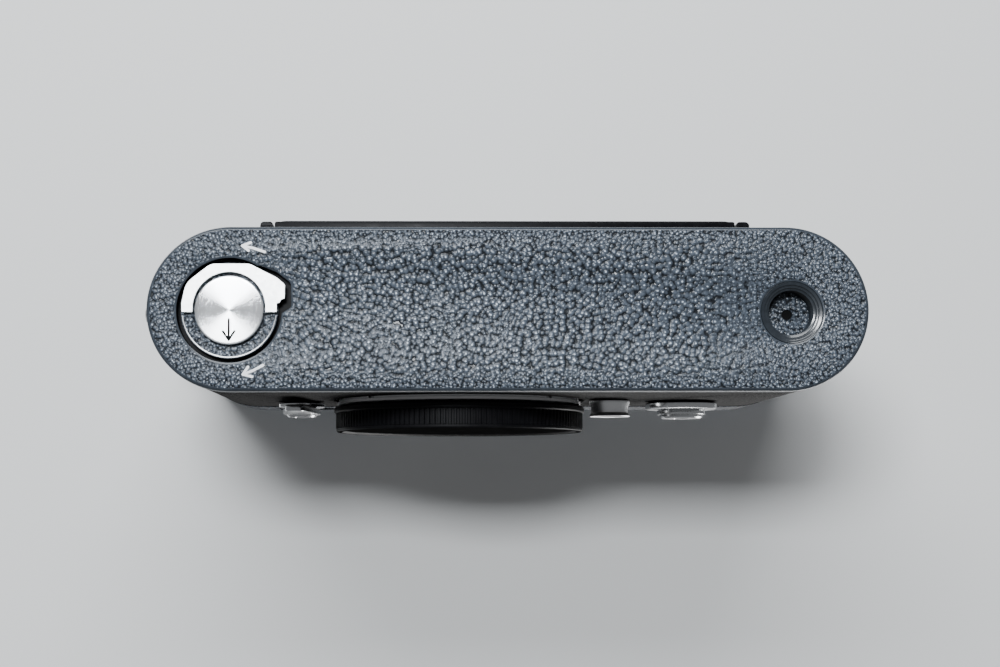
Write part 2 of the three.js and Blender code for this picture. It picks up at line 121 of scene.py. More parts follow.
def place(material, centre=(0, 0, 0), scale=(1, 1, 1)):
    """Object coordinates in millimetres, counted from a centre."""
    here = put(material, "TexCoord").outputs["Object"]
    factors = [1 / MM * s for s in scale]
    shift = [-c * s for c, s in zip(centre, scale)]
    return put(material, "Mapping", Vector=here, Scale=factors, Location=shift).outputs["Vector"]


def calc(material, operation, a, b=0.0):
    node = put(material, "Math", {"operation": operation})
    feed(material, a, node.inputs[0])
    feed(material, b, node.inputs[1])
    return node.outputs[0]


def noise(material, where, scale, detail=3.0, rough=0.5):
    return put(material, "TexNoise", Vector=where, Scale=scale, Detail=detail, Roughness=rough)


def remap(material, value, low, high, to_low, to_high, smooth=False):
    settings = {"interpolation_type": "SMOOTHSTEP"} if smooth else {}
    node = put(material, "MapRange", settings, Value=value, From_Min=low, From_Max=high)
    node.inputs["To Min"].default_value = to_low
    node.inputs["To Max"].default_value = to_high
    return node.outputs["Result"]


def tint(material, factor, first, second):
    node = put(material, "Mix", {"data_type": "RGBA"})
    feed(material, factor, node.inputs[0])
    for socket, value in ((node.inputs[6], first), (node.inputs[7], second)):
        feed(material, value if isinstance(value, bpy.types.NodeSocket) else (*value, 1), socket)
    return node.outputs[2]


def shader_of(material):
    return material.node_tree.nodes["Principled BSDF"]


def relief(material, height, depth, below=None):
    """Bump whose full height is depth, in millimetres."""
    bump = put(material, "Bump", Height=height, Strength=1.0, Distance=depth * MM)
    if below is not None:
        feed(material, below, bump.inputs["Normal"])
    feed(material, bump.outputs["Normal"], shader_of(material).inputs["Normal"])
    return bump.outputs["Normal"]


print("material kit: place, calc, noise, remap, tint and relief")


# %% [markdown]
# ## Hammertone enamel
# Hammertone is sprayed thick, and its silicone beads the enamel into small domes with creases between
# them. It could be carved into the mesh, but the domes are only a tenth of a millimetre high, so a cell
# pattern drives colour, gloss and bump together. The colour carries painted light: the domes' tops are
# painted lighter and the creases darker, as painted shade, and a small painted highlight, a glint, is
# drawn on many of the domes. Towards an edge the coat is thinner and its beads smaller. A flat face takes
# a pattern made in two dimensions, because a flat cut through a solid pattern shows many domes off their
# middles.

# %% Hammertone
def dome(material, where, pitch, top, space):
    """Round domes, top at each cell's middle and falling to 0 like a ball's cap, and a glint, a painted
    highlight, on each.
    """
    settings = {"feature": "F1", "voronoi_dimensions": space}
    cell = put(material, "TexVoronoi", settings, Vector=where, Scale=1 / pitch, Randomness=1.0)
    far = calc(material, "DIVIDE", cell.outputs["Distance"], 0.66)
    cap = calc(material, "SUBTRACT", 1.0, calc(material, "MULTIPLY", far, far))
    chance = put(material, "SeparateXYZ", Vector=cell.outputs["Color"]).outputs["X"]
    odds = remap(material, chance, 0.25, 1.0, 0.0, 1.0)
    # Painted highlight: a small bright dot near the top of many domes.
    glint = calc(material, "MULTIPLY", remap(material, cap, 0.93, 0.99, 0.0, 1.0, smooth=True), odds)
    return calc(material, "MULTIPLY", calc(material, "MAXIMUM", cap, 0.0), top), glint


def beads(material, where, pitch, space):
    """Height and glint of beads of one main size, with smaller ones squeezed between them."""
    large, glint = dome(material, where, pitch, 1.0, space)
    small, _ = dome(material, where, pitch * 0.68, 0.78, space)
    both = put(material, "Math", {"operation": "SMOOTH_MAX"})
    for socket, value in zip(both.inputs, (large, small, 0.12)):
        feed(material, value, socket)
    return both.outputs[0], glint


def blend_values(material, factor, first, second):
    node = put(material, "Mix", {"data_type": "FLOAT"}, Factor=factor)
    feed(material, first, node.inputs[2])
    feed(material, second, node.inputs[3])
    return node.outputs[0]


def hammertone(name, half_length, radius, coarse_pitch, fine_pitch, depth, space, gloss):
    """Enamel whose beads go from the coarse pitch in the middle to the fine one along the edge."""
    material = new_material(name, (0.05, 0.06, 0.07), 0.3, 0.0, Coat_Weight=gloss, Coat_Roughness=0.15,
                            Specular_IOR_Level=gloss / 2)
    where = place(material)
    bend = put(material, "VectorMath", {"operation": "MULTIPLY_ADD"})
    feed(material, noise(material, where, 1.3, 2.0).outputs["Color"], bend.inputs[0])
    bend.inputs[1].default_value = [0.32] * 3
    feed(material, where, bend.inputs[2])
    coarse, coarse_glint = beads(material, bend.outputs[0], coarse_pitch, space)
    fine, fine_glint = beads(material, bend.outputs[0], fine_pitch, space)

    split = put(material, "SeparateXYZ", Vector=where)
    length = calc(material, "ABSOLUTE", split.outputs["X"])
    past_end = calc(material, "MAXIMUM", calc(material, "SUBTRACT", length, half_length - radius), 0.0)
    spoke = put(material, "CombineXYZ", X=past_end, Y=split.outputs["Y"])
    reach = put(material, "VectorMath", {"operation": "LENGTH"})
    feed(material, spoke.outputs[0], reach.inputs[0])
    rim = remap(material, reach.outputs["Value"], radius - 5.5, radius - 0.5, 0.0, 1.0, smooth=True)
    ends = remap(material, length, half_length * 0.45, half_length * 0.80, 0.0, 0.75, smooth=True)
    drift = noise(material, where, 0.12, 2.0).outputs["Fac"]
    patches = remap(material, drift, 0.50, 0.70, 0.0, 0.6, smooth=True)
    thin = calc(material, "MAXIMUM", calc(material, "MAXIMUM", rim, ends), patches)
    height = blend_values(material, thin, coarse, fine)
    glint = blend_values(material, thin, coarse_glint, fine_glint)

    flake = noise(material, where, 6.0, 2.0, 0.7).outputs["Fac"]
    mottle = noise(material, where, 0.9, 3.0, 0.6).outputs["Fac"]
    lit = calc(material, "ADD", height, remap(material, mottle, 0.3, 0.7, -0.18, 0.18))
    # Painted light: the colour follows the dome height, lighter on the domes' tops and darker in the creases
    # as painted shade.
    dome_top_light = remap(material, lit, 0.45, 1.05, 0.0, 1.0, smooth=True)
    crease_shade = remap(material, lit, 0.22, 0.58, 0.0, 1.0, smooth=True)
    body = tint(material, dome_top_light, (0.022, 0.028, 0.036), (0.074, 0.091, 0.117))
    body = tint(material, remap(material, flake, 0.40, 0.75, 0.0, 0.30), body, (0.100, 0.122, 0.154))
    body = tint(material, crease_shade, (0.007, 0.009, 0.012), body)
    shader = shader_of(material)
    # The glint mask paints a small bright highlight into the base colour.
    feed(material, tint(material, glint, body, (0.62, 0.70, 0.80)), shader.inputs["Base Color"])
    feed(material, remap(material, flake, 0.3, 0.8, 0.36, 0.52), shader.inputs["Roughness"])
    feed(material, relief(material, height, depth), shader.inputs["Coat Normal"])
    return material


plate_span = Span("base_plate")
enamel = hammertone("hammertone_enamel", plate_span.x1, plate_span.y1, 1.28, 0.80, 0.26, "3D", 0.1)
flat_enamel = hammertone("hammertone_on_a_face", plate_span.x1, plate_span.y1, 1.22, 0.82, 0.22, "2D", 0.4)
print("hammertone made, with", len(enamel.node_tree.nodes), "nodes")


# %% [markdown]
# ## Bright metals
# The knob's face is turned on a lathe, so its fine grooves run in circles and spread each light into a
# fan. They are far finer than the eye can see, so they are made with anisotropic gloss along the circles,
# and only their unevenness is drawn.

# %% Turned and plain metals
def turned_metal(name, centre, color, roughness, axis="Z", aniso=0.75):
    material = new_material(name, color, roughness, 1.0, Anisotropic=aniso, Anisotropic_Rotation=0.25)
    where = place(material, centre)
    gone = {"X": (0, 1, 1), "Y": (1, 0, 1), "Z": (1, 1, 0)}[axis]
    flat = put(material, "VectorMath", {"operation": "MULTIPLY"})
    feed(material, where, flat.inputs[0])
    flat.inputs[1].default_value = gone
    reach = put(material, "VectorMath", {"operation": "LENGTH"})
    feed(material, flat.outputs[0], reach.inputs[0])
    ring_distance = reach.outputs["Value"]
    grooves = put(material, "TexNoise", {"noise_dimensions": "1D"}, W=ring_distance, Scale=9.0, Detail=4.0)
    shader = shader_of(material)
    feed(material, remap(material, grooves.outputs["Fac"], 0.3, 0.7, roughness * 0.8, roughness * 1.25),
         shader.inputs["Roughness"])
    relief(material, grooves.outputs["Fac"], 0.004)
    tangent = put(material, "Tangent", {"direction_type": "UV_MAP", "uv_map": "around"})
    feed(material, tangent.outputs[0], shader.inputs["Tangent"])
    return material


def bright_metal(name, color, roughness, grain=0.004, scale=(1, 1, 1), wear=0.08):
    material = new_material(name, color, roughness, 1.0)
    where = place(material, scale=scale)
    streaks = noise(material, where, 3.0, 5.0, 0.6).outputs["Fac"]
    smears = noise(material, where, 0.25, 3.0).outputs["Fac"]
    shader = shader_of(material)
    gloss = remap(material, smears, 0.3, 0.75, roughness, roughness + wear)
    feed(material, gloss, shader.inputs["Roughness"])
    dulled = tint(material, remap(material, streaks, 0.35, 0.8, 0.0, 0.35), color, [c * 0.72 for c in color])
    feed(material, dulled, shader.inputs["Base Color"])
    relief(material, streaks, grain)
    return material


chrome = bright_metal("satin_chrome", (0.80, 0.81, 0.82), 0.16)
steel = bright_metal("satin_steel", (0.70, 0.71, 0.72), 0.28, 0.006)
blasted = bright_metal("blasted_silver", (0.98, 0.985, 0.99), 0.36, 0.008, (4, 4, 4))
brass = bright_metal("machined_brass", (0.66, 0.50, 0.24), 0.30, 0.006)
alloy = bright_metal("cast_alloy", (0.42, 0.43, 0.45), 0.5, 0.03)
print("metals:", ", ".join(metal.name for metal in (chrome, steel, blasted, brass, alloy)))


# %% [markdown]
# ## Black parts
# Four blacks lie side by side on this camera and have to stay apart: satin lacquer with a little orange
# peel, moulded plastic with fine grit, the pebbled covering, and the shutter's cloth with its weave.

# %% Black lacquer, plastic, covering and cloth
def black(name, color, roughness, grit, depth, shine=0.14, **sockets):
    material = new_material(name, color, roughness, Specular_IOR_Level=shine, **sockets)
    where = place(material)
    peel = noise(material, where, grit, 4.0).outputs["Fac"]
    dust = noise(material, where, 0.35, 4.0, 0.7).outputs["Fac"]
    shader = shader_of(material)
    feed(material, tint(material, remap(material, dust, 0.45, 0.8, 0.0, 0.5), color,
                        [c * 2.2 + 0.004 for c in color]), shader.inputs["Base Color"])
    gloss = remap(material, dust, 0.3, 0.8, roughness * 0.85, roughness * 1.25)
    feed(material, gloss, shader.inputs["Roughness"])
    relief(material, peel, depth)
    return material


def pebbled(name):
    material = new_material(name, (0.012, 0.012, 0.013), 0.6, Specular_IOR_Level=0.015)
    where = place(material)
    cell = put(material, "TexVoronoi", {"feature": "DISTANCE_TO_EDGE"}, Vector=where, Scale=1.15)
    grain = remap(material, cell.outputs["Distance"], 0.0, 0.22, 0.0, 1.0, smooth=True)
    fine = noise(material, where, 5.0, 4.0).outputs["Fac"]
    height = calc(material, "ADD", grain, calc(material, "MULTIPLY", fine, 0.35))
    shader = shader_of(material)
    # Painted shade: the creases between the pebbles are darker than the pebbles' tops.
    crease_shaded_color = tint(material, grain, (0.004, 0.004, 0.004), (0.018, 0.017, 0.017))
    feed(material, crease_shaded_color, shader.inputs["Base Color"])
    feed(material, remap(material, fine, 0.3, 0.7, 0.55, 0.75), shader.inputs["Roughness"])
    relief(material, height, 0.10)
    return material


def woven(name):
    material = new_material(name, (0.012, 0.012, 0.012), 0.85, Sheen_Weight=0.2)
    where = place(material)
    warp = put(material, "TexWave", {"bands_direction": "X"}, Vector=where, Scale=0.8, Distortion=0.3)
    weft = put(material, "TexWave", {"bands_direction": "Z"}, Vector=where, Scale=0.8, Distortion=0.3)
    relief(material, calc(material, "MULTIPLY", warp.outputs["Fac"], weft.outputs["Fac"]), 0.03)
    return material


lacquer = black("black_lacquer", (0.004, 0.004, 0.005), 0.34, 2.5, 0.012, shine=0.06)
plastic = black("cap_plastic", (0.006, 0.006, 0.007), 0.45, 8.0, 0.01, shine=0.1)
ink = black("arrow_ink", (0.003, 0.003, 0.003), 0.6, 8.0, 0.004, shine=0.05)
matte = black("matte_black", (0.005, 0.005, 0.005), 0.8, 6.0, 0.02, shine=0.0)
smooth_enamel = black("smooth_enamel", (0.034, 0.042, 0.053), 0.35, 1.6, 0.02,
                      Coat_Weight=0.7, Coat_Roughness=0.18)
socket_enamel = black("socket_enamel", (0.015, 0.019, 0.024), 0.35, 1.6, 0.02,
                      Coat_Weight=1.0, Coat_Roughness=0.16)
covering = pebbled("pebbled_covering")
cloth = woven("shutter_cloth")
white_paint = black("marking_paint", (0.94, 0.95, 0.96), 0.35, 6.0, 0.004, shine=0.5)
print("blacks and paints:", len(bpy.data.materials), "materials so far")


# %% Glass
def coated_glass(name, color, roughness, transmission):
    material = new_material(name, color, roughness, Transmission_Weight=transmission, IOR=1.5,
                            Coat_Weight=0.6, Coat_Roughness=0.03, Coat_Tint=(0.75, 0.62, 0.95, 1))
    smear = noise(material, place(material), 0.3, 3.0).outputs["Fac"]
    gloss = remap(material, smear, 0.4, 0.8, roughness, roughness + 0.05)
    feed(material, gloss, shader_of(material).inputs["Roughness"])
    return material


def ribbed_glass(name):
    material = new_material(name, (0.75, 0.78, 0.80), 0.35, Transmission_Weight=0.35, IOR=1.5)
    ribs = put(material, "TexWave", {"bands_direction": "X"}, Vector=place(material), Scale=0.5)
    relief(material, ribs.outputs["Fac"], 0.25)
    return material


clear_glass = coated_glass("coated_glass", (0.55, 0.62, 0.66), 0.02, 0.6)
frosted = ribbed_glass("frosted_window")
print("materials:", len(bpy.data.materials))


# %% [markdown]
# ## A few ways of making things
# A turned piece is a profile spun round an axis, and a cut piece is an outline extruded to its thickness.
# Both start from one vertex that is extruded from point to point, as it is done by hand.

# %% Modelling helpers
def object_mode():
    if bpy.context.object and bpy.context.object.mode != "OBJECT":
        bpy.ops.object.mode_set(mode="OBJECT")


def only(piece):
    object_mode()
    bpy.ops.object.select_all(action="DESELECT")
    piece.select_set(True)
    bpy.context.view_layer.objects.active = piece


def wire(name, points):
    """Extrudes one vertex along points and stays in edit mode."""
    object_mode()
    bpy.ops.object.select_all(action="DESELECT")
    bpy.ops.mesh.primitive_plane_add(size=MM)
    piece = bpy.context.object
    piece.name = piece.data.name = name
    bpy.ops.object.mode_set(mode="EDIT")
    bpy.ops.mesh.select_mode(type="VERT")
    bpy.ops.mesh.select_all(action="SELECT")
    bpy.ops.mesh.merge(type="CENTER")
    here = mm(*points[0])
    bpy.ops.transform.translate(value=here)
    for point in points[1:]:
        bpy.ops.mesh.extrude_region_move(TRANSFORM_OT_translate={"value": mm(*point) - here})
        here = mm(*point)
    bpy.ops.mesh.select_all(action="SELECT")
    return piece


def close_mesh():
    bpy.ops.mesh.select_all(action="SELECT")
    bpy.ops.mesh.remove_doubles(threshold=0.002 * MM)
    bpy.ops.mesh.normals_make_consistent(inside=False)
    bpy.ops.object.mode_set(mode="OBJECT")


def prism(name, outline, z0, z1):
    """An outline of (x, y) points, extruded from z0 to z1."""
    piece = wire(name, [(x, y, z0) for x, y in outline])
    bpy.ops.mesh.edge_face_add()
    bpy.ops.mesh.extrude_region_move(TRANSFORM_OT_translate={"value": mm(0, 0, z1 - z0)})
    close_mesh()
    return piece


def lathe(name, profile, steps=96):
    """A profile of (radius, height) points, spun round Z."""
    piece = wire(name, [(r, 0, h) for r, h in profile])
    bpy.ops.mesh.spin(steps=steps, angle=math.tau, center=(0, 0, 0), axis=(0, 0, 1))
    close_mesh()
    return piece


def settle(piece, x=0, y=0, z=0, tilt=(0, 0, 0)):
    """Turns and places a piece, and keeps its place in its mesh."""
    only(piece)
    piece.rotation_euler = tilt
    piece.location = mm(x, y, z)
    bpy.ops.object.transform_apply(location=True, rotation=True, scale=True)
    return piece


def bar(name, x0, x1, y0, y1, z0, z1):
    object_mode()
    bpy.ops.object.select_all(action="DESELECT")
    bpy.ops.mesh.primitive_cube_add(size=1)
    piece = bpy.context.object
    piece.name = piece.data.name = name
    piece.scale = mm(x1 - x0, y1 - y0, z1 - z0)
    return settle(piece, (x0 + x1) / 2, (y0 + y1) / 2, (z0 + z1) / 2)


def drum(name, x, z, radius, y0, y1, steps=96):
    """A plain round cutter along Y."""
    piece = prism(name, arc(0, 0, radius, 0, 360 - 360 / steps, steps - 1), -y1, -y0)
    return settle(piece, x, 0, z, FRONT)


def pick(piece, kind, test):
    """Selects faces by centre and normal, or edges by their two ends, and stays in edit mode."""
    only(piece)
    bpy.ops.object.mode_set(mode="EDIT")
    bpy.ops.mesh.select_mode(type=kind)
    bpy.ops.mesh.select_all(action="DESELECT")
    bpy.ops.object.mode_set(mode="OBJECT")
    mesh = piece.data
    if kind == "FACE":
        for face in mesh.polygons:
            face.select = test(face.center / MM, face.normal)
    else:
        for edge in mesh.edges:
            a, b = (mesh.vertices[i].co / MM for i in edge.vertices)
            edge.select = test(a, b)
    bpy.ops.object.mode_set(mode="EDIT")


def give(piece, material, test=None):
    """Gives a piece its material, or only the faces that pass the test."""
    piece.data.materials.append(material)
    if test:
        pick(piece, "FACE", test)
        piece.active_material_index = len(piece.data.materials) - 1
        bpy.ops.object.material_slot_assign()
        object_mode()


def apply_modifiers(piece):
    only(piece)
    for modifier in list(piece.modifiers):
        bpy.ops.object.modifier_apply(modifier=modifier.name)


def combine(piece, operation, others):
    for other in others:
        modifier = piece.modifiers.new("work", "BOOLEAN")
        modifier.operation = operation
        modifier.solver = "EXACT"
        modifier.object = other
        apply_modifiers(piece)
        bpy.data.objects.remove(other)
    return piece


def cut_away(piece, *cutters):
    return combine(piece, "DIFFERENCE", cutters)


def weld(piece, *others):
    return combine(piece, "UNION", others)


def soften(piece, width, segments=2, angle=35):
    modifier = piece.modifiers.new("edge", "BEVEL")
    modifier.width = width * MM
    modifier.segments = segments
    modifier.limit_method = "ANGLE"
    modifier.angle_limit = math.radians(angle)
    apply_modifiers(piece)
    return piece


def hand_in(piece, body, material, slot, *stands_for, angle=28):
    """Smooths a finished piece, gives it its material and puts it on its body."""
    only(piece)
    bpy.ops.object.shade_smooth_by_angle(angle=math.radians(angle))
    if not piece.data.materials:
        piece.data.materials.append(material)
    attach(piece, body)
    if stands_for:
        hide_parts(*stands_for)
    print(piece.name, "rides on", body, "with", len(piece.data.polygons), "faces")
    return piece


print("ways of making things: prism, lathe, bar, drum, cut_away, weld, soften and hand_in")


# %% Outlines
def arc(x, y, radius, start, end, steps=24):
    """Points on an arc, with its angles in degrees."""
    turns = [math.radians(start + (end - start) * i / steps) for i in range(steps + 1)]
    return [(x + radius * math.cos(a), y + radius * math.sin(a)) for a in turns]


def stadium(half_length, radius, steps=56):
    reach = half_length - radius
    return arc(reach, 0, radius, -90, 90, steps) + arc(-reach, 0, radius, 90, 270, steps)


def rounded(corners, radius, steps=5):
    """A polygon with rounded corners. A corner may carry its own radius as a third number."""
    outline = []
    for i, corner in enumerate(corners):
        here = Vector(corner[:2])
        before = (Vector(corners[i - 1][:2]) - here).normalized()
        after = (Vector(corners[(i + 1) % len(corners)][:2]) - here).normalized()
        own = corner[2] if len(corner) > 2 else radius
        half = before.angle(after) / 2
        centre = here + (before + after).normalized() * own / math.sin(half)
        start = here + before * own / math.tan(half) - centre
        end = here + after * own / math.tan(half) - centre
        sweep = -start.angle_signed(end)
        for k in range(steps + 1):
            spoke = start.copy()
            spoke.rotate(Matrix.Rotation(sweep * k / steps, 2))
            outline.append(tuple(centre + spoke))
    return outline


def box_outline(x0, x1, y0, y1, radius=0.5):
    return rounded([(x0, y0), (x1, y0), (x1, y1), (x0, y1)], radius)


def drop_outline(hub, tip, reach):
    """A lever seen flat: a round hub at the origin and a smaller round tip up +Y."""
    spread = math.degrees(math.asin((hub - tip) / reach))
    return arc(0, 0, hub, 180 - spread, 360 + spread, 32) + arc(0, reach, tip, spread, 180 - spread, 16)


def around_map(piece, x, y, z, axis="Z"):
    """A UV map whose U runs round an axis, which turned metal takes its grooves' direction from."""
    layer = piece.data.uv_layers.new(name="around")
    pair = {"X": (1, 2), "Y": (0, 2), "Z": (0, 1)}[axis]
    centre = mm(x, y, z)
    for face in piece.data.polygons:
        middle = face.center - centre
        base = math.atan2(middle[pair[1]], middle[pair[0]])
        for loop in face.loop_indices:
            spoke = piece.data.vertices[piece.data.loops[loop].vertex_index].co - centre
            angle = math.atan2(spoke[pair[1]], spoke[pair[0]])
            if Vector((spoke[pair[0]], spoke[pair[1]])).length < 0.01 * MM:
                angle = base
            near = base + (angle - base + math.pi) % math.tau - math.pi
            layer.data[loop].uv = (near / math.tau, spoke.length / MM / 10)


print("outlines: arc, stadium, rounded, box_outline and drop_outline")


# %% [markdown]
# ## The base plate
# The plate is a shallow tray pressed from brass and painted all over. It is drawn as its outline, raised to
# the rim's height and hollowed by an inset, and the recesses are then cut with flared cutters, whose wide
# mouths leave the small chamfers where light catches the paint.

# %% Base plate
key = Span("lock_knob")
bush = Span("tripod_bush")
RIM_TOP = 3.2
RIM_WALL = 1.0
TRAY_DEPTH = 2.0
PLATE_EDGE = 0.9
RECESS_R = 10.05
RECESS_DEPTH = 2.6
HOUSE_R = 12.7
SOCKET_R = 6.0
SOCKET_DEPTH = 5


def flared_cutter(name, outline, centre, lip, drop, depth):
    """A cutter that is wider by lip at the plate's face and narrows to its outline, drop below it."""
    reach = max(math.hypot(x - centre[0], y - centre[1]) for x, y in outline)
    wide = 1 + lip / reach
    mouth = [(centre[0] + (x - centre[0]) * wide, centre[1] + (y - centre[1]) * wide) for x, y in outline]
    piece = wire(name, [(x, y, -1) for x, y in mouth])
    bpy.ops.mesh.edge_face_add()
    bpy.ops.mesh.extrude_region_move(TRANSFORM_OT_translate={"value": mm(0, 0, 1)})
    bpy.ops.mesh.extrude_region_move(TRANSFORM_OT_translate={"value": mm(0, 0, drop)})
    narrow = (1 / wide, 1 / wide, 1)
    bpy.ops.transform.resize(value=narrow, center_override=mm(*centre, drop))
    bpy.ops.mesh.extrude_region_move(TRANSFORM_OT_translate={"value": mm(0, 0, depth - drop)})
    close_mesh()
    return piece


plate = prism("bottom_plate", stadium(plate_span.x1, plate_span.y1), 0, RIM_TOP)
pick(plate, "FACE", lambda c, n: n.z > 0.9)
bpy.ops.mesh.inset(thickness=RIM_WALL * MM)
bpy.ops.mesh.extrude_region_move(TRANSFORM_OT_translate={"value": mm(0, 0, -TRAY_DEPTH)})
pick(plate, "EDGE", lambda a, b: a.z < 0.01 and b.z < 0.01)
bpy.ops.mesh.bevel(offset=PLATE_EDGE * MM, segments=6, affect="EDGES")
pick(plate, "EDGE", lambda a, b: a.z > RIM_TOP - 0.01 and b.z > RIM_TOP - 0.01)
bpy.ops.mesh.bevel(offset=0.15 * MM, segments=2, affect="EDGES")
object_mode()

lock_house = prism("lock_house", arc(key.x, key.y, HOUSE_R, 0, 357, 119), 0.8, 3.6)
socket_house = prism("socket_house", arc(bush.x, bush.y, 8.4, 0, 357, 119), 0.8, 3.6)
hook = prism("hook", box_outline(-65.6, -64.3, -4, 4, 0.3), 0.8, 5.6)
weld(plate, lock_house, socket_house, hook)
round_recess = arc(key.x, key.y, RECESS_R, 0, 357, 119)
tab_corners = [
    (-5.0, 8.9, 1.0), (-9.0, 7.3, 1.6), (-11.75, 5.2, 1.2), (-11.85, 0.6, 0.7),
    (-9.9, -0.7, 0.5), (-3.0, 1.0, 0.5),
]
socket_outline = arc(bush.x, bush.y, SOCKET_R, 0, 357, 119)
tab_recess = rounded([(key.x + x, key.y + y, r) for x, y, r in tab_corners], 1.0)
cut_away(
    plate,
    flared_cutter("recess", round_recess, (key.x, key.y), 0.36, 0.16, RECESS_DEPTH),
    flared_cutter("tab_recess", tab_recess, (key.x, key.y), 0.36, 0.16, RECESS_DEPTH),
    flared_cutter("socket_hole", socket_outline, (bush.x, bush.y), 0.3, 0.14, SOCKET_DEPTH),
    prism("spindle_hole", arc(key.x, key.y, 2.4, 0, 350, 35), 1, 6),
)
give(plate, enamel)
give(plate, flat_enamel, lambda c, n: c.z < 0.02 and n.z < -0.97)
give(plate, smooth_enamel, lambda c, n: c.z < 0.92 and -0.97 < n.z < -0.05)
# Painted shade: the recess's walls and floor round the key are black lacquer, standing for the shade in the
# deep recess.
give(plate, lacquer, lambda c, n: math.hypot(c.x - key.x, c.y - key.y) < 12.6 and 0.3 < c.z < 2.8)
hand_in(plate, "base", enamel, "hammertone_paint", "base_plate")


# %% [markdown]
# ## The tripod bush
# The bush is a turned cup with a thread cut in its wall, and it is painted with the plate. The thread is
# drawn as rings in the profile: from outside only its lines can be seen, so a true helix would show nothing
# more.

# %% Tripod bush
THREAD_PITCH = 0.48
thread = []
for i in range(8):
    start = 1.0 + i * THREAD_PITCH
    thread += [(4.32, start), (4.58, start + THREAD_PITCH * 0.5)]
profile = [(5.92, 5.2), (5.92, 0.16), (5.86, 0.10), (5.68, 0.18), (5.44, 0.18), (5.28, 0.25), (5.26, 0.5),
           (5.10, 0.5), (4.94, 0.57), (4.80, 0.57), (4.78, 0.85), (4.62, 0.92), *thread,
           (4.32, 4.86), (1.5, 4.86), (1.05, 4.72), (0.95, 4.9), (0.95, 5.2), (5.92, 5.2)]
bush_piece = settle(lathe("socket_bush", profile), bush.x, bush.y, 0)
give(bush_piece, socket_enamel)
give(bush_piece, flat_enamel, lambda c, n: n.z < -0.9 and 4.5 < c.z < 5)
hand_in(bush_piece, "base", socket_enamel, "hammertone_paint", "tripod_bush")
# Painted shade: a black disc fills the small hole in the bush's floor, standing for the dark inside.
pit_shade_disc = lathe("bush_pit", [(0, 5.0), (0.93, 5.0), (0.93, 5.15), (0, 5.15)], 32)
hand_in(settle(pit_shade_disc, bush.x, bush.y, 0), "base", ink, "black_plastic")


# %% [markdown]
# ## The lock key
# The key is three pieces: a painted turntable sunk in the plate, a knob turned from solid metal, and a bail
# that folds flat round the knob and is raised to turn it. The turntable's lip is worn to bare metal, so its
# narrow slope has its own material.

# %% Turntable
TABLE_R = 9.25
STEP_Z = 1.3
table_profile = [(6.95, STEP_Z), (6.95, 0.75), (7.05, 0.65), (8.86, 0.65), (9.0, 0.58), (9.12, 0.58),
                 (TABLE_R, 0.70), (TABLE_R, 2.3), (2.2, 2.3), (2.2, STEP_Z), (6.95, STEP_Z)]
turntable = settle(lathe("turntable", table_profile), key.x, key.y, 0)
upper_outline = box_outline(key.x - 12, key.x + 12, key.y - 1.0, key.y + 12, 0.1)
upper_half = prism("upper_half", upper_outline, -1, STEP_Z)
cut_away(turntable, upper_half)
give(turntable, flat_enamel)
give(turntable, smooth_enamel, lambda c, n: math.hypot(c.x - key.x, c.y - key.y) > 9.0)
give(turntable, steel, lambda c, n: 8.86 < math.hypot(c.x - key.x, c.y - key.y) < 9.0 and n.z < -0.3)
hand_in(turntable, "lock_key", flat_enamel, "hammertone_paint", "lock_turntable")

# %% Knob and its arrow
spun = turned_metal("turned_silver", (key.x, key.y, 0), (0.86, 0.87, 0.89), 0.165, aniso=0.93)
KNOB_R = 6.6
knob_profile = [(0, 0.05), (1.0, 0.05), (6.2, 0.05), (6.3, 0.05), (6.5, 0.1), (KNOB_R, 0.25), (KNOB_R, 0.95),
                (1.8, 0.95), (1.8, 4.8), (1.6, 5.0), (0, 5.0)]
knob = settle(lathe("knob", knob_profile, 144), key.x, key.y, 0)
around_map(knob, key.x, key.y, 0)
hand_in(knob, "lock_key", spun, "satin_metal", "lock_knob")


def stroke(name, points, width, z0, z1):
    """A painted line through points, with round ends."""
    parts = []
    for (x0, y0), (x1, y1) in zip(points, points[1:]):
        lean = math.degrees(math.atan2(y1 - y0, x1 - x0))
        outline = arc(x1, y1, width / 2, lean - 90, lean + 90, 8)
        outline += arc(x0, y0, width / 2, lean + 90, lean + 270, 8)
        parts.append(prism(name, outline, z0, z1))
    return weld(parts[0], *parts[1:]) if len(parts) > 1 else parts[0]


knob_arrow = [[(0, -1.8), (0, -5.6)], [(-1.1, -4.05), (0, -5.7)], [(1.1, -4.05), (0, -5.7)]]
arrow_lines = [[(key.x + x, key.y + y) for x, y in line] for line in knob_arrow]
arrow_parts = [stroke("knob_arrow", line, 0.42, 0.0, 0.12) for line in arrow_lines]
hand_in(weld(*arrow_parts), "lock_key", ink, "black_plastic")

# %% Bail
bail_span = Span("lock_bail")
BAIL_ARCH_R = 6.9
shoulders = [(9.1, 1.2, 1.0), (8.3, 5.2, 4.0), (3.6, 8.9, 3.0), (-3.8, 8.9, 2.5), (-9.1, 6.2, 1.0),
             (-10.6, 4.9, 0.5), (-10.6, 2.2, 0.25), (-9.9, 1.95, 0.2), (-9.6, 1.35, 0.15), (-9.1, 1.3, 0.1),
             (-9.1, -0.4, 0.15),
             (9.0, -0.4, 0.2)]
around_knob = [(key.x + x, key.y + y, r) for x, y, r in reversed(shoulders)]
bail = prism("bail", rounded(around_knob, 0.3), 0.04, bail_span.z1)
arch = prism("arch", arc(key.x, key.y + 0.4, BAIL_ARCH_R, 0, 357, 119), -1, 3)
legs_apart = bar("legs_apart", key.x - BAIL_ARCH_R, key.x + BAIL_ARCH_R, key.y - 3, key.y + 0.4, -1, 3)
cut_away(bail, arch, legs_apart)
soften(bail, 0.07, 2, 50)
hand_in(bail, "bail", blasted, "satin_metal", "lock_bail", angle=20)

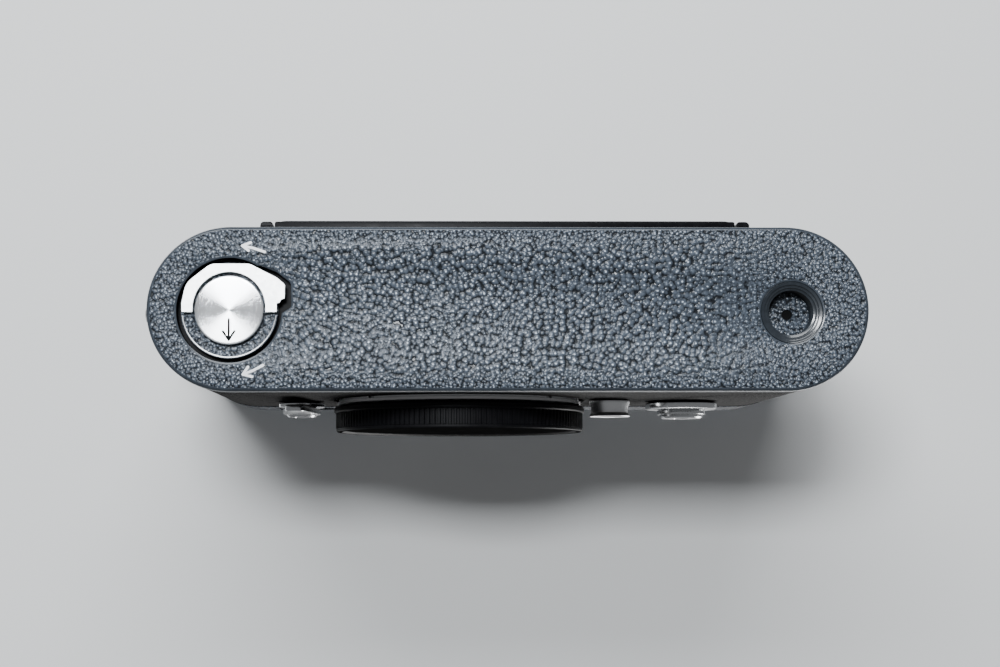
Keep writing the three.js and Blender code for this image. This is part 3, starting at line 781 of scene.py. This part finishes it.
# %% Painted arrows
def bent_line(start, bend, end, steps):
    """Points on a smooth bend from start to end, pulled towards the middle point."""
    start, bend, end = Vector(start), Vector(bend), Vector(end)
    return [start.lerp(bend, t).lerp(bend.lerp(end, t), t) for t in steps]


def curved_arrow(name, tail, bend, tip, barbs):
    """A stroke from tail to tip by way of a bend, with two barbs, relative to the key."""
    spine = bent_line(tail, bend, tip, (0, 0.5, 1))
    lines = [spine] + [[Vector(barb), Vector(tip)] for barb in barbs]
    parts = [stroke(name, [(key.x + p.x, key.y + p.y) for p in line], 0.48, -0.03, 0.05) for line in lines]
    hand_in(weld(*parts), "base", white_paint, "covering")


curved_arrow("arrow_open", (-6.7, 11.15), (-4.5, 12.0), (-2.4, 12.35), [(-4.0, 12.95), (-3.6, 11.4)])
curved_arrow("arrow_close", (-6.6, -10.5), (-4.6, -11.75), (-2.8, -12.25), [(-3.75, -10.85), (-4.55, -12.7)])

# %% [markdown]
# ## The body shell and its covering
# The shell is a die casting wrapped in textured covering. Two ribs stand up beside the door, and the
# covering stops short of them. The covering is an outline with thickness, and its back and its round lens
# opening are cut away, as they are with a knife on the real camera.

# %% Covering round the body
door = Span("back_door")
skin_span = Span("body_covering")
flange = Span("mount_ring")
SKIN_R = max(skin_span.y1, -skin_span.y0)
LENS_X, LENS_Z = flange.x, flange.z
FLANGE_R = (flange.x1 - flange.x0) / 2

wrap = prism("wrap", stadium(skin_span.x1, SKIN_R), skin_span.z0, skin_span.z1)
inner_wrap = prism("inner_wrap", stadium(skin_span.x1 - 0.4, SKIN_R - 0.4), 0, 60)
cut_away(wrap, inner_wrap, bar("back_gap", door.x0 - 3.1, door.x1 + 3.1, 0, 20, 0, 60),
         drum("mount_gap", LENS_X, LENS_Z, FLANGE_R + 0.6, -20, -10))
soften(wrap, 0.12, 2, 50)
hand_in(wrap, "camera_body", covering, "covering", "body_covering", angle=25)

# %% [markdown]
# ## The back door
# The door is a black pressed panel with rounded long edges. Three knuckles carry it on a pin under the top
# cover. The panel stands a little proud of the covering, so its edge shows as a black band from below.

# %% Door
pin = Span("door_hinge_pin")
leaf = Span("door_covering")
dial = Span("film_speed_dial")
DOOR_BACK = 15.4
panel = bar("door_panel", door.x0, door.x1, DOOR_BACK, leaf.y0 + 0.15, door.z0, 53.3)
soften(panel, 0.35, 3)
inner = bar("door_inner", door.x0 + 2.4, door.x1 - 2.4, 13.6, DOOR_BACK + 0.1, 7.6, 50)
weld(panel, inner)
for x in (-30, 0.45, 31):
    tube = prism("knuckle", arc(0, 0, 1.15, 0, 345, 23), -6, 6)
    settle(tube, x, pin.y, pin.z, (0, math.pi / 2, 0))
    weld(panel, tube, bar("strap", x - 6, x + 6, pin.y - 0.55, pin.y + 0.2, 53.0, pin.z - 0.9))
pin_bore = prism("pin_bore", arc(0, 0, 0.8, 0, 345, 23), -60, 60)
settle(pin_bore, 0, pin.y, pin.z, (0, math.pi / 2, 0))
cut_away(panel, pin_bore, drum("dial_seat", dial.x, dial.z, 15.6, 16.6, 20))
hand_in(panel, "door", lacquer, "black_metal", "back_door")

RIB_FACE = leaf.y1 - 0.15
for x0, x1 in ((door.x1 + 0.3, door.x1 + 2.8), (door.x0 - 2.8, door.x0 - 0.3)):
    rib = bar("door_rib", x0, x1, 14.4, RIB_FACE, door.z0 + 0.1, 53.3)
    pick(rib, "EDGE", lambda a, b: a.y > RIB_FACE - 0.01 and b.y > RIB_FACE - 0.01)
    bpy.ops.mesh.bevel(offset=0.9 * MM, segments=5, affect="EDGES")
    hand_in(rib, "camera_body", lacquer, "black_metal")

leaf_skin = bar("door_skin", leaf.x0, leaf.x1, leaf.y0, leaf.y1, leaf.z0, leaf.z1)
pick(leaf_skin, "EDGE", lambda a, b: abs(a.y - b.y) > 0.3)
bpy.ops.mesh.bevel(offset=1.5 * MM, segments=6, affect="EDGES")
object_mode()
cut_away(leaf_skin, drum("dial_gap", dial.x, dial.z, 15.9, 10, 20))
soften(leaf_skin, 0.12, 2, 50)
hand_in(leaf_skin, "door", covering, "covering", "door_covering")

# %% [markdown]
# ### Film dial on the door
# A reminder dial is turned with stepped rings, and its scale is a ring of short painted bars. Long and
# short bars alternate, which reads as a scale without any words.

# %% Film dial
dial_profile = [(0, 16.9), (15.2, 16.9), (15.2, 17.55), (14.9, 17.9), (12.3, 17.9), (12.0, 17.6), (9.4, 17.6),
                (9.2, 17.4), (5.2, 17.4), (5.0, 17.7), (0, 17.75)]
film_dial = settle(lathe("film_dial", dial_profile, 128), dial.x, 0, dial.z, BACK)
give(film_dial, plastic)
give(film_dial, steel, lambda c, n: n.y > 0.9 and 12.4 < math.hypot(c.x - dial.x, c.z - dial.z) < 14.8)
hand_in(film_dial, "door_dial", plastic, "black_plastic", "film_speed_dial")


def tick_ring(name, radius, length, width, count, height, every=4, short=0.55):
    """A ring of raised bars on +Z, each every-th one long."""
    marks = []
    for i in range(count):
        size = length if i % every == 0 else length * short
        mark = bar(name, radius - size, radius, -width / 2, width / 2, height - 0.03, height + 0.02)
        only(mark)
        bpy.ops.object.mode_set(mode="EDIT")
        bpy.ops.mesh.select_all(action="SELECT")
        bpy.ops.transform.rotate(value=math.tau * i / count, orient_axis="Z", center_override=(0, 0, 0))
        object_mode()
        marks.append(mark)
    only(marks[0])
    for mark in marks:
        mark.select_set(True)
    bpy.ops.object.join()
    return bpy.context.object


film_ticks = settle(tick_ring("film_ticks", 11.6, 1.7, 0.3, 32, 17.6), dial.x, 0, dial.z, BACK)
hand_in(film_ticks, "door_dial", white_paint, "covering")

# %% [markdown]
# ## The lens mount and its cap
# The mount is a chromed ring held by four slotted screws. The cap is moulded in black plastic: a smooth
# skirt beside the body, then a grip with fine upright ribs, then a plain rounded rim. One rib is modelled
# and copied round, and all of them are welded to the skirt by standing in it.

# %% Mount ring and screws
ring_profile = [(22.0, 15.3), (25.2, 15.3), (25.2, 16.0), (FLANGE_R, 16.05), (FLANGE_R, 16.55), (25.35, 16.8),
                (22.3, 16.8), (22.0, 16.5), (22.0, 15.3)]
mount_ring = settle(lathe("lens_flange", ring_profile, 160), LENS_X, 0, LENS_Z, FRONT)
screws = [Span(f"mount_screw_{i}") for i in range(1, 5)]
cut_away(mount_ring, *[drum("screw_seat", s.x, s.z, 1.6, -20, -10, 24) for s in screws])
hand_in(mount_ring, "camera_body", blasted, "chrome", "mount_ring")

# %% Cap
cap_profile = [(0, 20.6), (19.8, 20.6), (19.8, 13.8), (21.4, 13.8), (21.4, 17.1), (26.1, 17.1), (26.35, 17.3),
               (26.35, 18.1), (26.15, 18.35), (25.65, 18.4), (25.6, 21.5), (25.9, 21.6), (25.9, 22.0),
               (25.7, 22.25),
               (25.4, 22.3), (24.7, 22.3), (24.35, 22.1), (24.1, 21.9), (0, 21.9)]
cap = settle(lathe("cap", cap_profile, 180), LENS_X, 0, LENS_Z, FRONT)
give(cap, plastic)
give(cap, matte, lambda c, n: n.y < -0.9 and c.y < -21.5)
hand_in(cap, "cap", plastic, "black_plastic", "body_cap")


def rib_ring(name, count, radius, depth, width, h0, h1, rise=0.12):
    """Upright ribs round a grip: one chamfered rib, copied round the axis."""
    first = bar(name, radius - depth, radius, -width / 2, width / 2, h0, h1)
    pick(first, "FACE", lambda c, n: n.x > 0.9)
    middle = mm(radius, 0, (h0 + h1) / 2)
    bpy.ops.transform.resize(value=(1, 0.5, 1), center_override=middle)
    bpy.ops.transform.resize(value=(1, 1, 1 - 2 * rise / (h1 - h0)), center_override=middle)
    object_mode()
    ribs = [first]
    for i in range(1, count):
        copy = first.copy()
        copy.data = first.data.copy()
        bpy.context.scene.collection.objects.link(copy)
        copy.rotation_euler = (0, 0, math.tau * i / count)
        ribs.append(copy)
    only(first)
    for rib in ribs:
        rib.select_set(True)
    bpy.ops.object.transform_apply(location=True, rotation=True, scale=True)
    bpy.ops.object.join()
    return bpy.context.object


cap_ribs = settle(rib_ring("cap_ribs", 152, 25.98, 0.5, 0.72, 18.3, 21.6), LENS_X, 0, LENS_Z, FRONT)
hand_in(cap_ribs, "cap", plastic, "black_plastic")

# %% [markdown]
# ## Small controls on the front
# Three small turned groups stand on the front: a guard round the lens release, a selector with a long
# lever, and the rewind release with its short lever and stepped hub.

# %% Guard, button, flanges and levers
guard = Span("release_guard")
guard_profile = [(3.0, 16.0), (4.2, 16.0), (4.2, 16.5), (3.85, 17.2), (3.8, 18.4), (4.1, 18.9), (4.2, 19.1),
                 (4.1, 19.2), (3.3, 19.2), (3.1, 19.1), (3.0, 18.9), (3.0, 16.0)]
guard_piece = settle(lathe("guard", guard_profile, 72), guard.x, 0, guard.z, FRONT)
hand_in(guard_piece, "camera_body", blasted, "satin_metal", "release_guard")
button = Span("lens_release_button")
button_profile = [(0, 17.4), (2.65, 17.4), (2.65, 18.7), (2.45, 18.9), (1.6, 18.8), (0, 18.7)]
button_piece = settle(lathe("release_button", button_profile, 64), button.x, 0, button.z, FRONT)
hand_in(button_piece, "lens_release", steel, "satin_metal", "lens_release_button")


def front_lever(node, flange_node, body, hub, tip, reach, side, top_hub, top_reach, foot_grow, foot_top):
    """A drop-shaped lever under a turned hub, on a turned flange."""
    foot = Span(flange_node)
    foot_r = (foot.x1 - foot.x0) / 2 + foot_grow
    foot_profile = [(0, 16.0), (foot_r - 0.2, 16.0), (foot_r, 16.2), (foot_r, foot_top - 0.35),
                    (foot_r - 0.12, foot_top - 0.12), (foot_r - 0.4, foot_top), (0, foot_top)]
    foot_piece = settle(lathe(flange_node + "_turned", foot_profile, 80), foot.x, 0, foot.z, FRONT)
    hand_in(foot_piece, "camera_body", chrome, "chrome", flange_node)
    arm = prism(node + "_arm", drop_outline(hub, tip, reach), foot_top + 0.15, 18.5)
    soften(arm, 0.22, 3)
    turn = 0 if side > 0 else math.pi
    settle(arm, tilt=(0, 0, turn))
    settle(arm, foot.x, 0, foot.z, FRONT)
    top = [(0, 17.5), (top_hub, 17.5), (top_hub, top_reach - 0.35), (top_hub - 0.35, top_reach),
           (1.7, top_reach), (1.5, top_reach - 0.25), (0, top_reach - 0.25)]
    knob = settle(lathe(node + "_hub", top, 64), foot.x, 0, foot.z, FRONT)
    weld(arm, knob)
    slot_y0, slot_y1 = -top_reach - 1, -top_reach + 0.55
    cut_away(arm, bar("slot", foot.x - 1.3, foot.x + 1.3, slot_y0, slot_y1, foot.z - 0.22, foot.z + 0.22))
    hand_in(arm, body, chrome, "chrome", node)


front_lever("selector_lever", "selector_flange", "selector", 4.0, 2.0, 16, -1, 3.2, 19.0, 0, 17.0)
front_lever("rewind_release_lever", "rewind_release_flange", "rewind_release", 5.1, 2.2, 9, 1, 4.6, 19.3,
            0.5, 17.4)

# %% [markdown]
# ## Strap lugs and the end stud
# The lugs are turned with a waist where the strap's ring sits.

# %% Lugs and stud
lug_profile = [(0, 69.2), (3.1, 69.2), (3.1, 69.75), (2.95, 69.9), (1.9, 70.1), (1.55, 70.5), (1.5, 71.6),
               (1.7, 72.0), (2.4, 72.3), (2.5, 72.6), (2.45, 73.0), (1.9, 73.45), (0, 73.5)]
for node, turn in (("strap_lug_left", math.pi / 2), ("strap_lug_right", -math.pi / 2)):
    lug = lathe(node + "_turned", lug_profile, 48)
    settle(lug, 0, 0, Span(node).z, (0, turn, 0))
    hand_in(lug, "camera_body", chrome, "chrome", node)
stud_profile = [(0, 68.8), (1.95, 68.8), (1.95, 70.1), (1.8, 70.4), (1.5, 70.57), (0, 70.6)]
stud = settle(lathe("stud", stud_profile, 48), 0, 0, Span("end_stud").z, (0, math.pi / 2, 0))
hand_in(stud, "camera_body", chrome, "chrome", "end_stud")

# %% [markdown]
# ## The top cover
# The cover is pressed and painted like the plate, with a round edge. It is made hollow, so the windows in
# its front have real depth, and each window gets a black frame that stands back from the paint.

# %% Top cover
cover = Span("top_cover")
COVER_R = cover.y1
shell = prism("cover", stadium(cover.x1, COVER_R), cover.z0, cover.z1)
pick(shell, "FACE", lambda c, n: n.z < -0.9)
bpy.ops.mesh.inset(thickness=1.0 * MM)
bpy.ops.mesh.extrude_region_move(TRANSFORM_OT_translate={"value": mm(0, 0, 14.8)})
pick(shell, "EDGE", lambda a, b: a.z > cover.z1 - 0.01 and b.z > cover.z1 - 0.01)
bpy.ops.mesh.bevel(offset=0.9 * MM, segments=6, affect="EDGES")
object_mode()
windows = {"viewfinder_window": 0.9, "illumination_window": 0.7, "rangefinder_window": 0.5}
cutters = []
for node in windows:
    w = Span(node)
    hole_outline = box_outline(w.x0 - 0.3, w.x1 + 0.3, -w.z1 - 0.3, -w.z0 + 0.3, 0.6)
    opening = prism(node + "_hole", hole_outline, -20, -10)
    cutters.append(settle(opening, tilt=(-math.pi / 2, 0, 0)))
eye = Span("eyepiece")
sockets = [Span("flash_socket_1"), Span("flash_socket_2")]
counter = Span("counter_window")
wind = Span("shutter_button")
rewinder = Span("rewind_knob")
cutters.append(drum("eye_hole", eye.x, eye.z, 5.3, 10, 20))
cutters += [drum("socket_hole", s.x, s.z, 3.1, 10, 20, 48) for s in sockets]
cutters.append(drum("mount_notch", LENS_X, LENS_Z, FLANGE_R + 0.6, -20, -13))
for x, y, radius in ((wind.x, wind.y, 3.4), (rewinder.x, 0, 4.3), (counter.x, counter.y, 3.9)):
    cutters.append(prism("top_hole", arc(x, y, radius, 0, 352, 44), 65, 80))
cut_away(shell, *cutters)
hand_in(shell, "camera_body", enamel, "hammertone_paint", "top_cover")
print("windows cut:", len(windows))

# %% Windows
for node, rim in windows.items():
    w = Span(node)
    pane = prism(node + "_pane", box_outline(w.x0, w.x1, -w.z1, -w.z0, 0.4), w.y0 + 0.15, w.y1)
    settle(pane, tilt=(-math.pi / 2, 0, 0))
    soften(pane, 0.15, 2)
    material = frosted if node == "illumination_window" else clear_glass
    hand_in(pane, "camera_body", material, "glass", node)
    outer = prism(node + "_frame", box_outline(w.x0, w.x1, -w.z1, -w.z0, 0.4), w.y0, w.y0 + 0.35)
    middle = box_outline(w.x0 + rim, w.x1 - rim, -w.z1 + rim, -w.z0 - rim, 0.4)
    cut_away(outer, prism("daylight", middle, -20, -10))
    settle(outer, tilt=(-math.pi / 2, 0, 0))
    hand_in(outer, "camera_body", lacquer, "black_metal")

# %% [markdown]
# ### Back of the cover
# The eyepiece is a turned ring round its lens, and the flash sockets are small coaxial cups.

# %% Eyepiece and flash sockets
eye_profile = [(0, 13.6), (3.6, 13.6), (5.0, 14.2), (5.0, 16.4), (4.8, 16.9), (4.4, 17.1), (4.0, 17.1),
               (3.8, 16.9), (3.4, 15.6), (0, 15.4)]
eyepiece = settle(lathe("eye_ring", eye_profile, 72), eye.x, 0, eye.z, BACK)
hand_in(eyepiece, "camera_body", lacquer, "black_metal", "eyepiece")
lens_profile = [(0, 15.3), (3.35, 15.3), (3.35, 15.7), (2.0, 15.95), (0, 16.05)]
eye_lens = settle(lathe("eye_lens", lens_profile, 48), eye.x, 0, eye.z, BACK)
hand_in(eye_lens, "camera_body", clear_glass, "glass")
for i, s in enumerate(sockets):
    cup = [(0, 13.6), (2.8, 13.6), (2.8, 16.1), (2.6, 16.3), (1.8, 16.3), (1.6, 16.1), (1.6, 14.6),
           (0.5, 14.6),
           (0.45, 15.6), (0, 15.7)]
    piece = settle(lathe(f"socket_cup_{i + 1}", cup, 56), s.x, 0, s.z, BACK)
    hand_in(piece, "camera_body", steel, "satin_metal", f"flash_socket_{i + 1}")

# %% [markdown]
# ## The controls on top
# The knurled dial and knob get copied ribs like the cap's. The shutter dial carries plain numbers, which
# are text turned into mesh and sunk a little into the face.

# %% Accessory shoe
rail = Span("accessory_shoe")
shoe_side = [(10.8, 0), (10.8, 3.3), (8.2, 3.3), (8.2, 2.3), (9.7, 2.3), (9.7, 1.1)]
shoe_outline = shoe_side + [(-x, y) for x, y in reversed(shoe_side)]
shoe = prism("shoe", [(x, y) for x, y in shoe_outline], -rail.y1, -rail.y0)
settle(shoe, rail.x, 0, rail.z0, FRONT)
soften(shoe, 0.18, 2)
hand_in(shoe, "camera_body", chrome, "chrome", "accessory_shoe")
for x in (-6, 6):
    head = lathe("shoe_screw", [(0, 1.0), (1.3, 1.0), (1.3, 1.2), (1.1, 1.35), (0, 1.4)], 32)
    settle(head, rail.x + x, 0.5, rail.z0)
    slot_cut = bar("slot", rail.x + x - 1.6, rail.x + x + 1.6, 0.32, 0.68, rail.z0 + 1.2, rail.z0 + 2)
    cut_away(head, slot_cut)
    hand_in(head, "camera_body", steel, "satin_metal")

# %% Shutter speed dial
speed = Span("shutter_speed_dial")
dial_top = speed.z1
speed_profile = [(0, speed.z0), (7.1, speed.z0), (7.1, 75.5), (6.9, 76.0), (6.6, dial_top), (5.2, dial_top),
                 (5.0, dial_top - 0.15), (2.2, dial_top - 0.15), (2.0, dial_top), (0, dial_top)]
speed_top = turned_metal("turned_dial_top", (speed.x, speed.y, 0), (0.72, 0.73, 0.74), 0.3)
speed_dial = settle(lathe("speed_dial", speed_profile, 112), speed.x, speed.y, 0)
around_map(speed_dial, speed.x, speed.y, 0)
hand_in(speed_dial, "speed_dial", speed_top, "satin_metal", "shutter_speed_dial")
speed_ribs = settle(rib_ring("speed_ribs", 72, 7.4, 0.45, 0.42, speed.z0 + 0.4, 75.4), speed.x, speed.y, 0)
hand_in(speed_ribs, "speed_dial", steel, "satin_metal")
speeds = ["30", "60", "125", "250", "500", "1", "2", "4", "8", "15"]
figures = []
for i, word in enumerate(speeds):
    object_mode()
    bpy.ops.object.select_all(action="DESELECT")
    bpy.ops.object.text_add()
    text = bpy.context.object
    text.data.body = word
    text.data.size = 1.5 * MM
    text.data.extrude = 0.03 * MM
    text.data.align_x = "CENTER"
    text.data.align_y = "CENTER"
    bpy.ops.object.convert(target="MESH")
    figure = bpy.context.object
    angle = math.tau * i / len(speeds)
    settle(figure, 4.0 * math.sin(angle), 4.0 * math.cos(angle), dial_top - 0.14, (0, 0, -angle))
    figures.append(figure)
only(figures[0])
for figure in figures:
    figure.select_set(True)
bpy.ops.object.join()
numbers = settle(bpy.context.object, speed.x, speed.y, 0)
numbers.name = numbers.data.name = "speed_numbers"
hand_in(numbers, "speed_dial", ink, "black_plastic")

# %% Advance lever, collar and shutter button
lever = Span("advance_lever")
hub_x, hub_y = wind.x, wind.y
tip_x = hub_x - 23.4
inner_edge = bent_line((tip_x, 9.4), (hub_x - 15, 8.2), (hub_x - 6.5, -3), [i / 12 for i in range(1, 13)])
outer_edge = bent_line((hub_x + 2, 6), (hub_x - 12, 13.2), (hub_x - 23, 14.2), [i / 12 for i in range(0, 12)])
lever_outline = [tuple(p) for p in outer_edge]
lever_outline += arc(tip_x, 11.8, 2.4, 90, 270, 16)
lever_outline += [tuple(p) for p in inner_edge]
arm = prism("lever_arm", lever_outline, lever.z0 + 0.2, lever.z1)
hub_disc = prism("lever_hub", arc(hub_x, hub_y, 8.4, 0, 357, 119), lever.z0, lever.z1)
weld(arm, hub_disc)
cut_away(arm, prism("button_hole", arc(hub_x, hub_y, 3.4, 0, 352, 44), 70, 80))
soften(arm, 0.25, 3, 50)
hand_in(arm, "wind_lever", steel, "satin_metal", "advance_lever")
collar_profile = [(3.5, 74.6), (4.9, 74.6), (4.9, 75.3), (4.7, 75.5), (3.7, 75.5), (3.5, 75.3), (3.5, 74.6)]
collar = settle(lathe("collar", collar_profile, 72), hub_x, hub_y, 0)
hand_in(collar, "wind_lever", chrome, "chrome", "release_collar")
press_profile = [(0, 72.4), (3.0, 72.4), (3.0, 75.8), (2.85, 76.15), (2.5, 76.3), (1.9, 76.25), (1.3, 76.2),
                 (0.9, 75.7), (0.85, 75.0), (0, 74.8)]
press = settle(lathe("press_button", press_profile, 64), hub_x, hub_y, 0)
hand_in(press, "release", chrome, "chrome", "shutter_button")

# %% Frame counter
glass_profile = [(0, counter.z0), (3.6, counter.z0), (3.6, 72.3), (3.4, 72.5), (0, 72.5)]
counter_glass = settle(lathe("counter_glass", glass_profile, 56), counter.x, counter.y, 0)
hand_in(counter_glass, "camera_body", clear_glass, "glass", "counter_window")
disc = Span("counter_disc")
disc_profile = [(0, 69.3), (6, 69.3), (6, 70.0), (5.9, 70.1), (0, 70.1)]
counter_plate = settle(lathe("counter_plate", disc_profile, 72), disc.x, disc.y, 0)
hand_in(counter_plate, "counter", lacquer, "black_metal", "counter_disc")
counter_ticks = settle(tick_ring("counter_ticks", 3.3, 1.3, 0.2, 20, 70.12), disc.x, disc.y, 0)
hand_in(counter_ticks, "counter", white_paint, "covering")

# %% Rewind knob and its sleeve
knob_top = rewinder.z1
rewind_profile = [(0, 73.4), (6.6, 73.4), (6.95, 73.7), (6.95, 76.5), (6.7, 76.85), (6.4, knob_top),
                  (5.0, knob_top), (4.8, knob_top - 0.2), (0, knob_top - 0.2)]
rewind_top = turned_metal("turned_knob_top", (rewinder.x, 0, 0), (0.74, 0.75, 0.76), 0.28)
rewind_knob = settle(lathe("rewind_top", rewind_profile, 112), rewinder.x, 0, 0)
stem = prism("rewind_stem", arc(rewinder.x, 0, 1.8, 0, 352, 44), 44, 74)
fork = bar("rewind_fork", rewinder.x - 2.9, rewinder.x + 2.9, -0.8, 0.8, 44, 47)
weld(rewind_knob, stem, fork)
around_map(rewind_knob, rewinder.x, 0, 0)
hand_in(rewind_knob, "rewind", rewind_top, "satin_metal", "rewind_knob")
rewind_ribs = settle(rib_ring("rewind_ribs", 64, 7.2, 0.45, 0.46, 73.9, 76.5), rewinder.x, 0, 0)
hand_in(rewind_ribs, "rewind", steel, "satin_metal")
sleeve_profile = [(2.2, 70.3), (4.0, 70.3), (4.0, 72.9), (3.8, 73.1), (2.4, 73.1), (2.2, 72.9), (2.2, 70.3)]
sleeve = settle(lathe("rewind_ring", sleeve_profile, 56), rewinder.x, 0, 0)
hand_in(sleeve, "rewind_lift", chrome, "chrome", "rewind_sleeve")

# %% [markdown]
# ## Pieces kept from the CAD
# The parts inside keep their exact CAD shapes. They show through the open lock, the door and the pulled
# cap, so each gets the finish of its real counterpart.

# %% Finishes of the kept nodes
finishes = {
    "satin_metal": steel, "chrome": chrome, "brass": brass, "black_metal": lacquer, "black_plastic": plastic,
    "covering": covering, "cast_alloy": alloy, "curtain_cloth": cloth, "glass": clear_glass,
    "hammertone_paint": enamel,
}
kept = 0
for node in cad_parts.values():
    for holder in node.material_slots:
        label = holder.material.name.split(".")[0] if holder.material else ""
        match = [finish for word, finish in finishes.items() if word in label]
        holder.material = match[0] if match else steel
        kept += 1
print("finishes given to", kept, "slots of kept nodes")

# %% [markdown]
# ## Floor, backdrop and light
# A small soft box far below the object is the key light, and a wide one, also below, on the side of its back
# stands in for a window. Two more light the upper side, one from the front and one from the back. A pale
# world gives the metals something even to reflect, and is stronger where the camera sees it.

# %% Studio
def studio_sheet(name, z, color, from_below, limit=None):
    """A large sheet that only the camera sees, and only from one side."""
    bpy.ops.object.select_all(action="DESELECT")
    bpy.ops.mesh.primitive_plane_add(size=8, location=(0, 0, z * MM))
    sheet = bpy.context.object
    sheet.name = name
    if from_below:
        sheet.rotation_euler = (math.pi, 0, 0)
    material = new_material(name, color, 0.9)
    tree = material.node_tree
    out = tree.nodes["Material Output"]
    clear = put(material, "BsdfTransparent")
    side_seen = put(material, "NewGeometry").outputs["Backfacing"]
    hide = side_seen
    if limit:
        slant = put(material, "LayerWeight", Blend=0.5).outputs["Facing"]
        hide = calc(material, "MAXIMUM", side_seen, calc(material, "GREATER_THAN", slant, limit))
    mix = put(material, "MixShader")
    feed(material, hide, mix.inputs[0])
    tree.links.new(shader_of(material).outputs[0], mix.inputs[1])
    tree.links.new(clear.outputs[0], mix.inputs[2])
    tree.links.new(mix.outputs[0], out.inputs["Surface"])
    mottle = noise(material, place(material), 0.004, 3.0).outputs["Fac"]
    sheet_color = tint(material, mottle, [c * 0.97 for c in color], color)
    feed(material, sheet_color, shader_of(material).inputs["Base Color"])
    sheet.data.materials.append(material)
    for ray in ("diffuse", "glossy", "transmission", "shadow", "volume_scatter"):
        setattr(sheet, "visible_" + ray, False)
    return sheet


studio_sheet("floor", -0.4, (0.80, 0.80, 0.79), False)
backdrop = studio_sheet("backdrop", 77.6, (0.80, 0.80, 0.79), True, limit=0.3)
backdrop.visible_glossy = True

world = bpy.data.worlds.new("studio")
bpy.context.scene.world = world
world.use_nodes = True
sky = world.node_tree.nodes["Background"]
sky.inputs["Color"].default_value = (0.95, 0.97, 1.0, 1)
seen = world.node_tree.nodes.new("ShaderNodeLightPath").outputs["Is Camera Ray"]
strength = world.node_tree.nodes.new("ShaderNodeMapRange")
strength.inputs["To Min"].default_value = 0.18
strength.inputs["To Max"].default_value = 0.62
world.node_tree.links.new(seen, strength.inputs["Value"])
world.node_tree.links.new(strength.outputs["Result"], sky.inputs["Strength"])


def soft_box(name, spot, size, power, color=(1, 1, 1)):
    light = bpy.data.lights.new(name, "AREA")
    light.shape = "RECTANGLE"
    light.size, light.size_y = size
    light.energy = power
    light.color = color
    lamp = bpy.data.objects.new(name, light)
    bpy.context.scene.collection.objects.link(lamp)
    back = Vector(spot).normalized()
    up = back.cross(Vector((1, 0, 0))).normalized()
    lamp.matrix_world = Matrix.Translation(spot) @ Matrix((up.cross(back), up, back)).transposed().to_4x4()
    return lamp


soft_box("key", (0.13, 0.20, -0.72), (0.24, 0.12), 5.6, (0.93, 0.965, 1.0))
soft_box("window", (0.10, 0.50, -0.50), (0.7, 0.30), 6.5, (0.93, 0.965, 1.0))
soft_box("overhead", (-0.35, -0.55, 0.75), (0.9, 0.6), 14)
soft_box("rear", (0.5, 0.6, 0.6), (0.6, 0.6), 7)
print("lights:", len(bpy.data.lights))
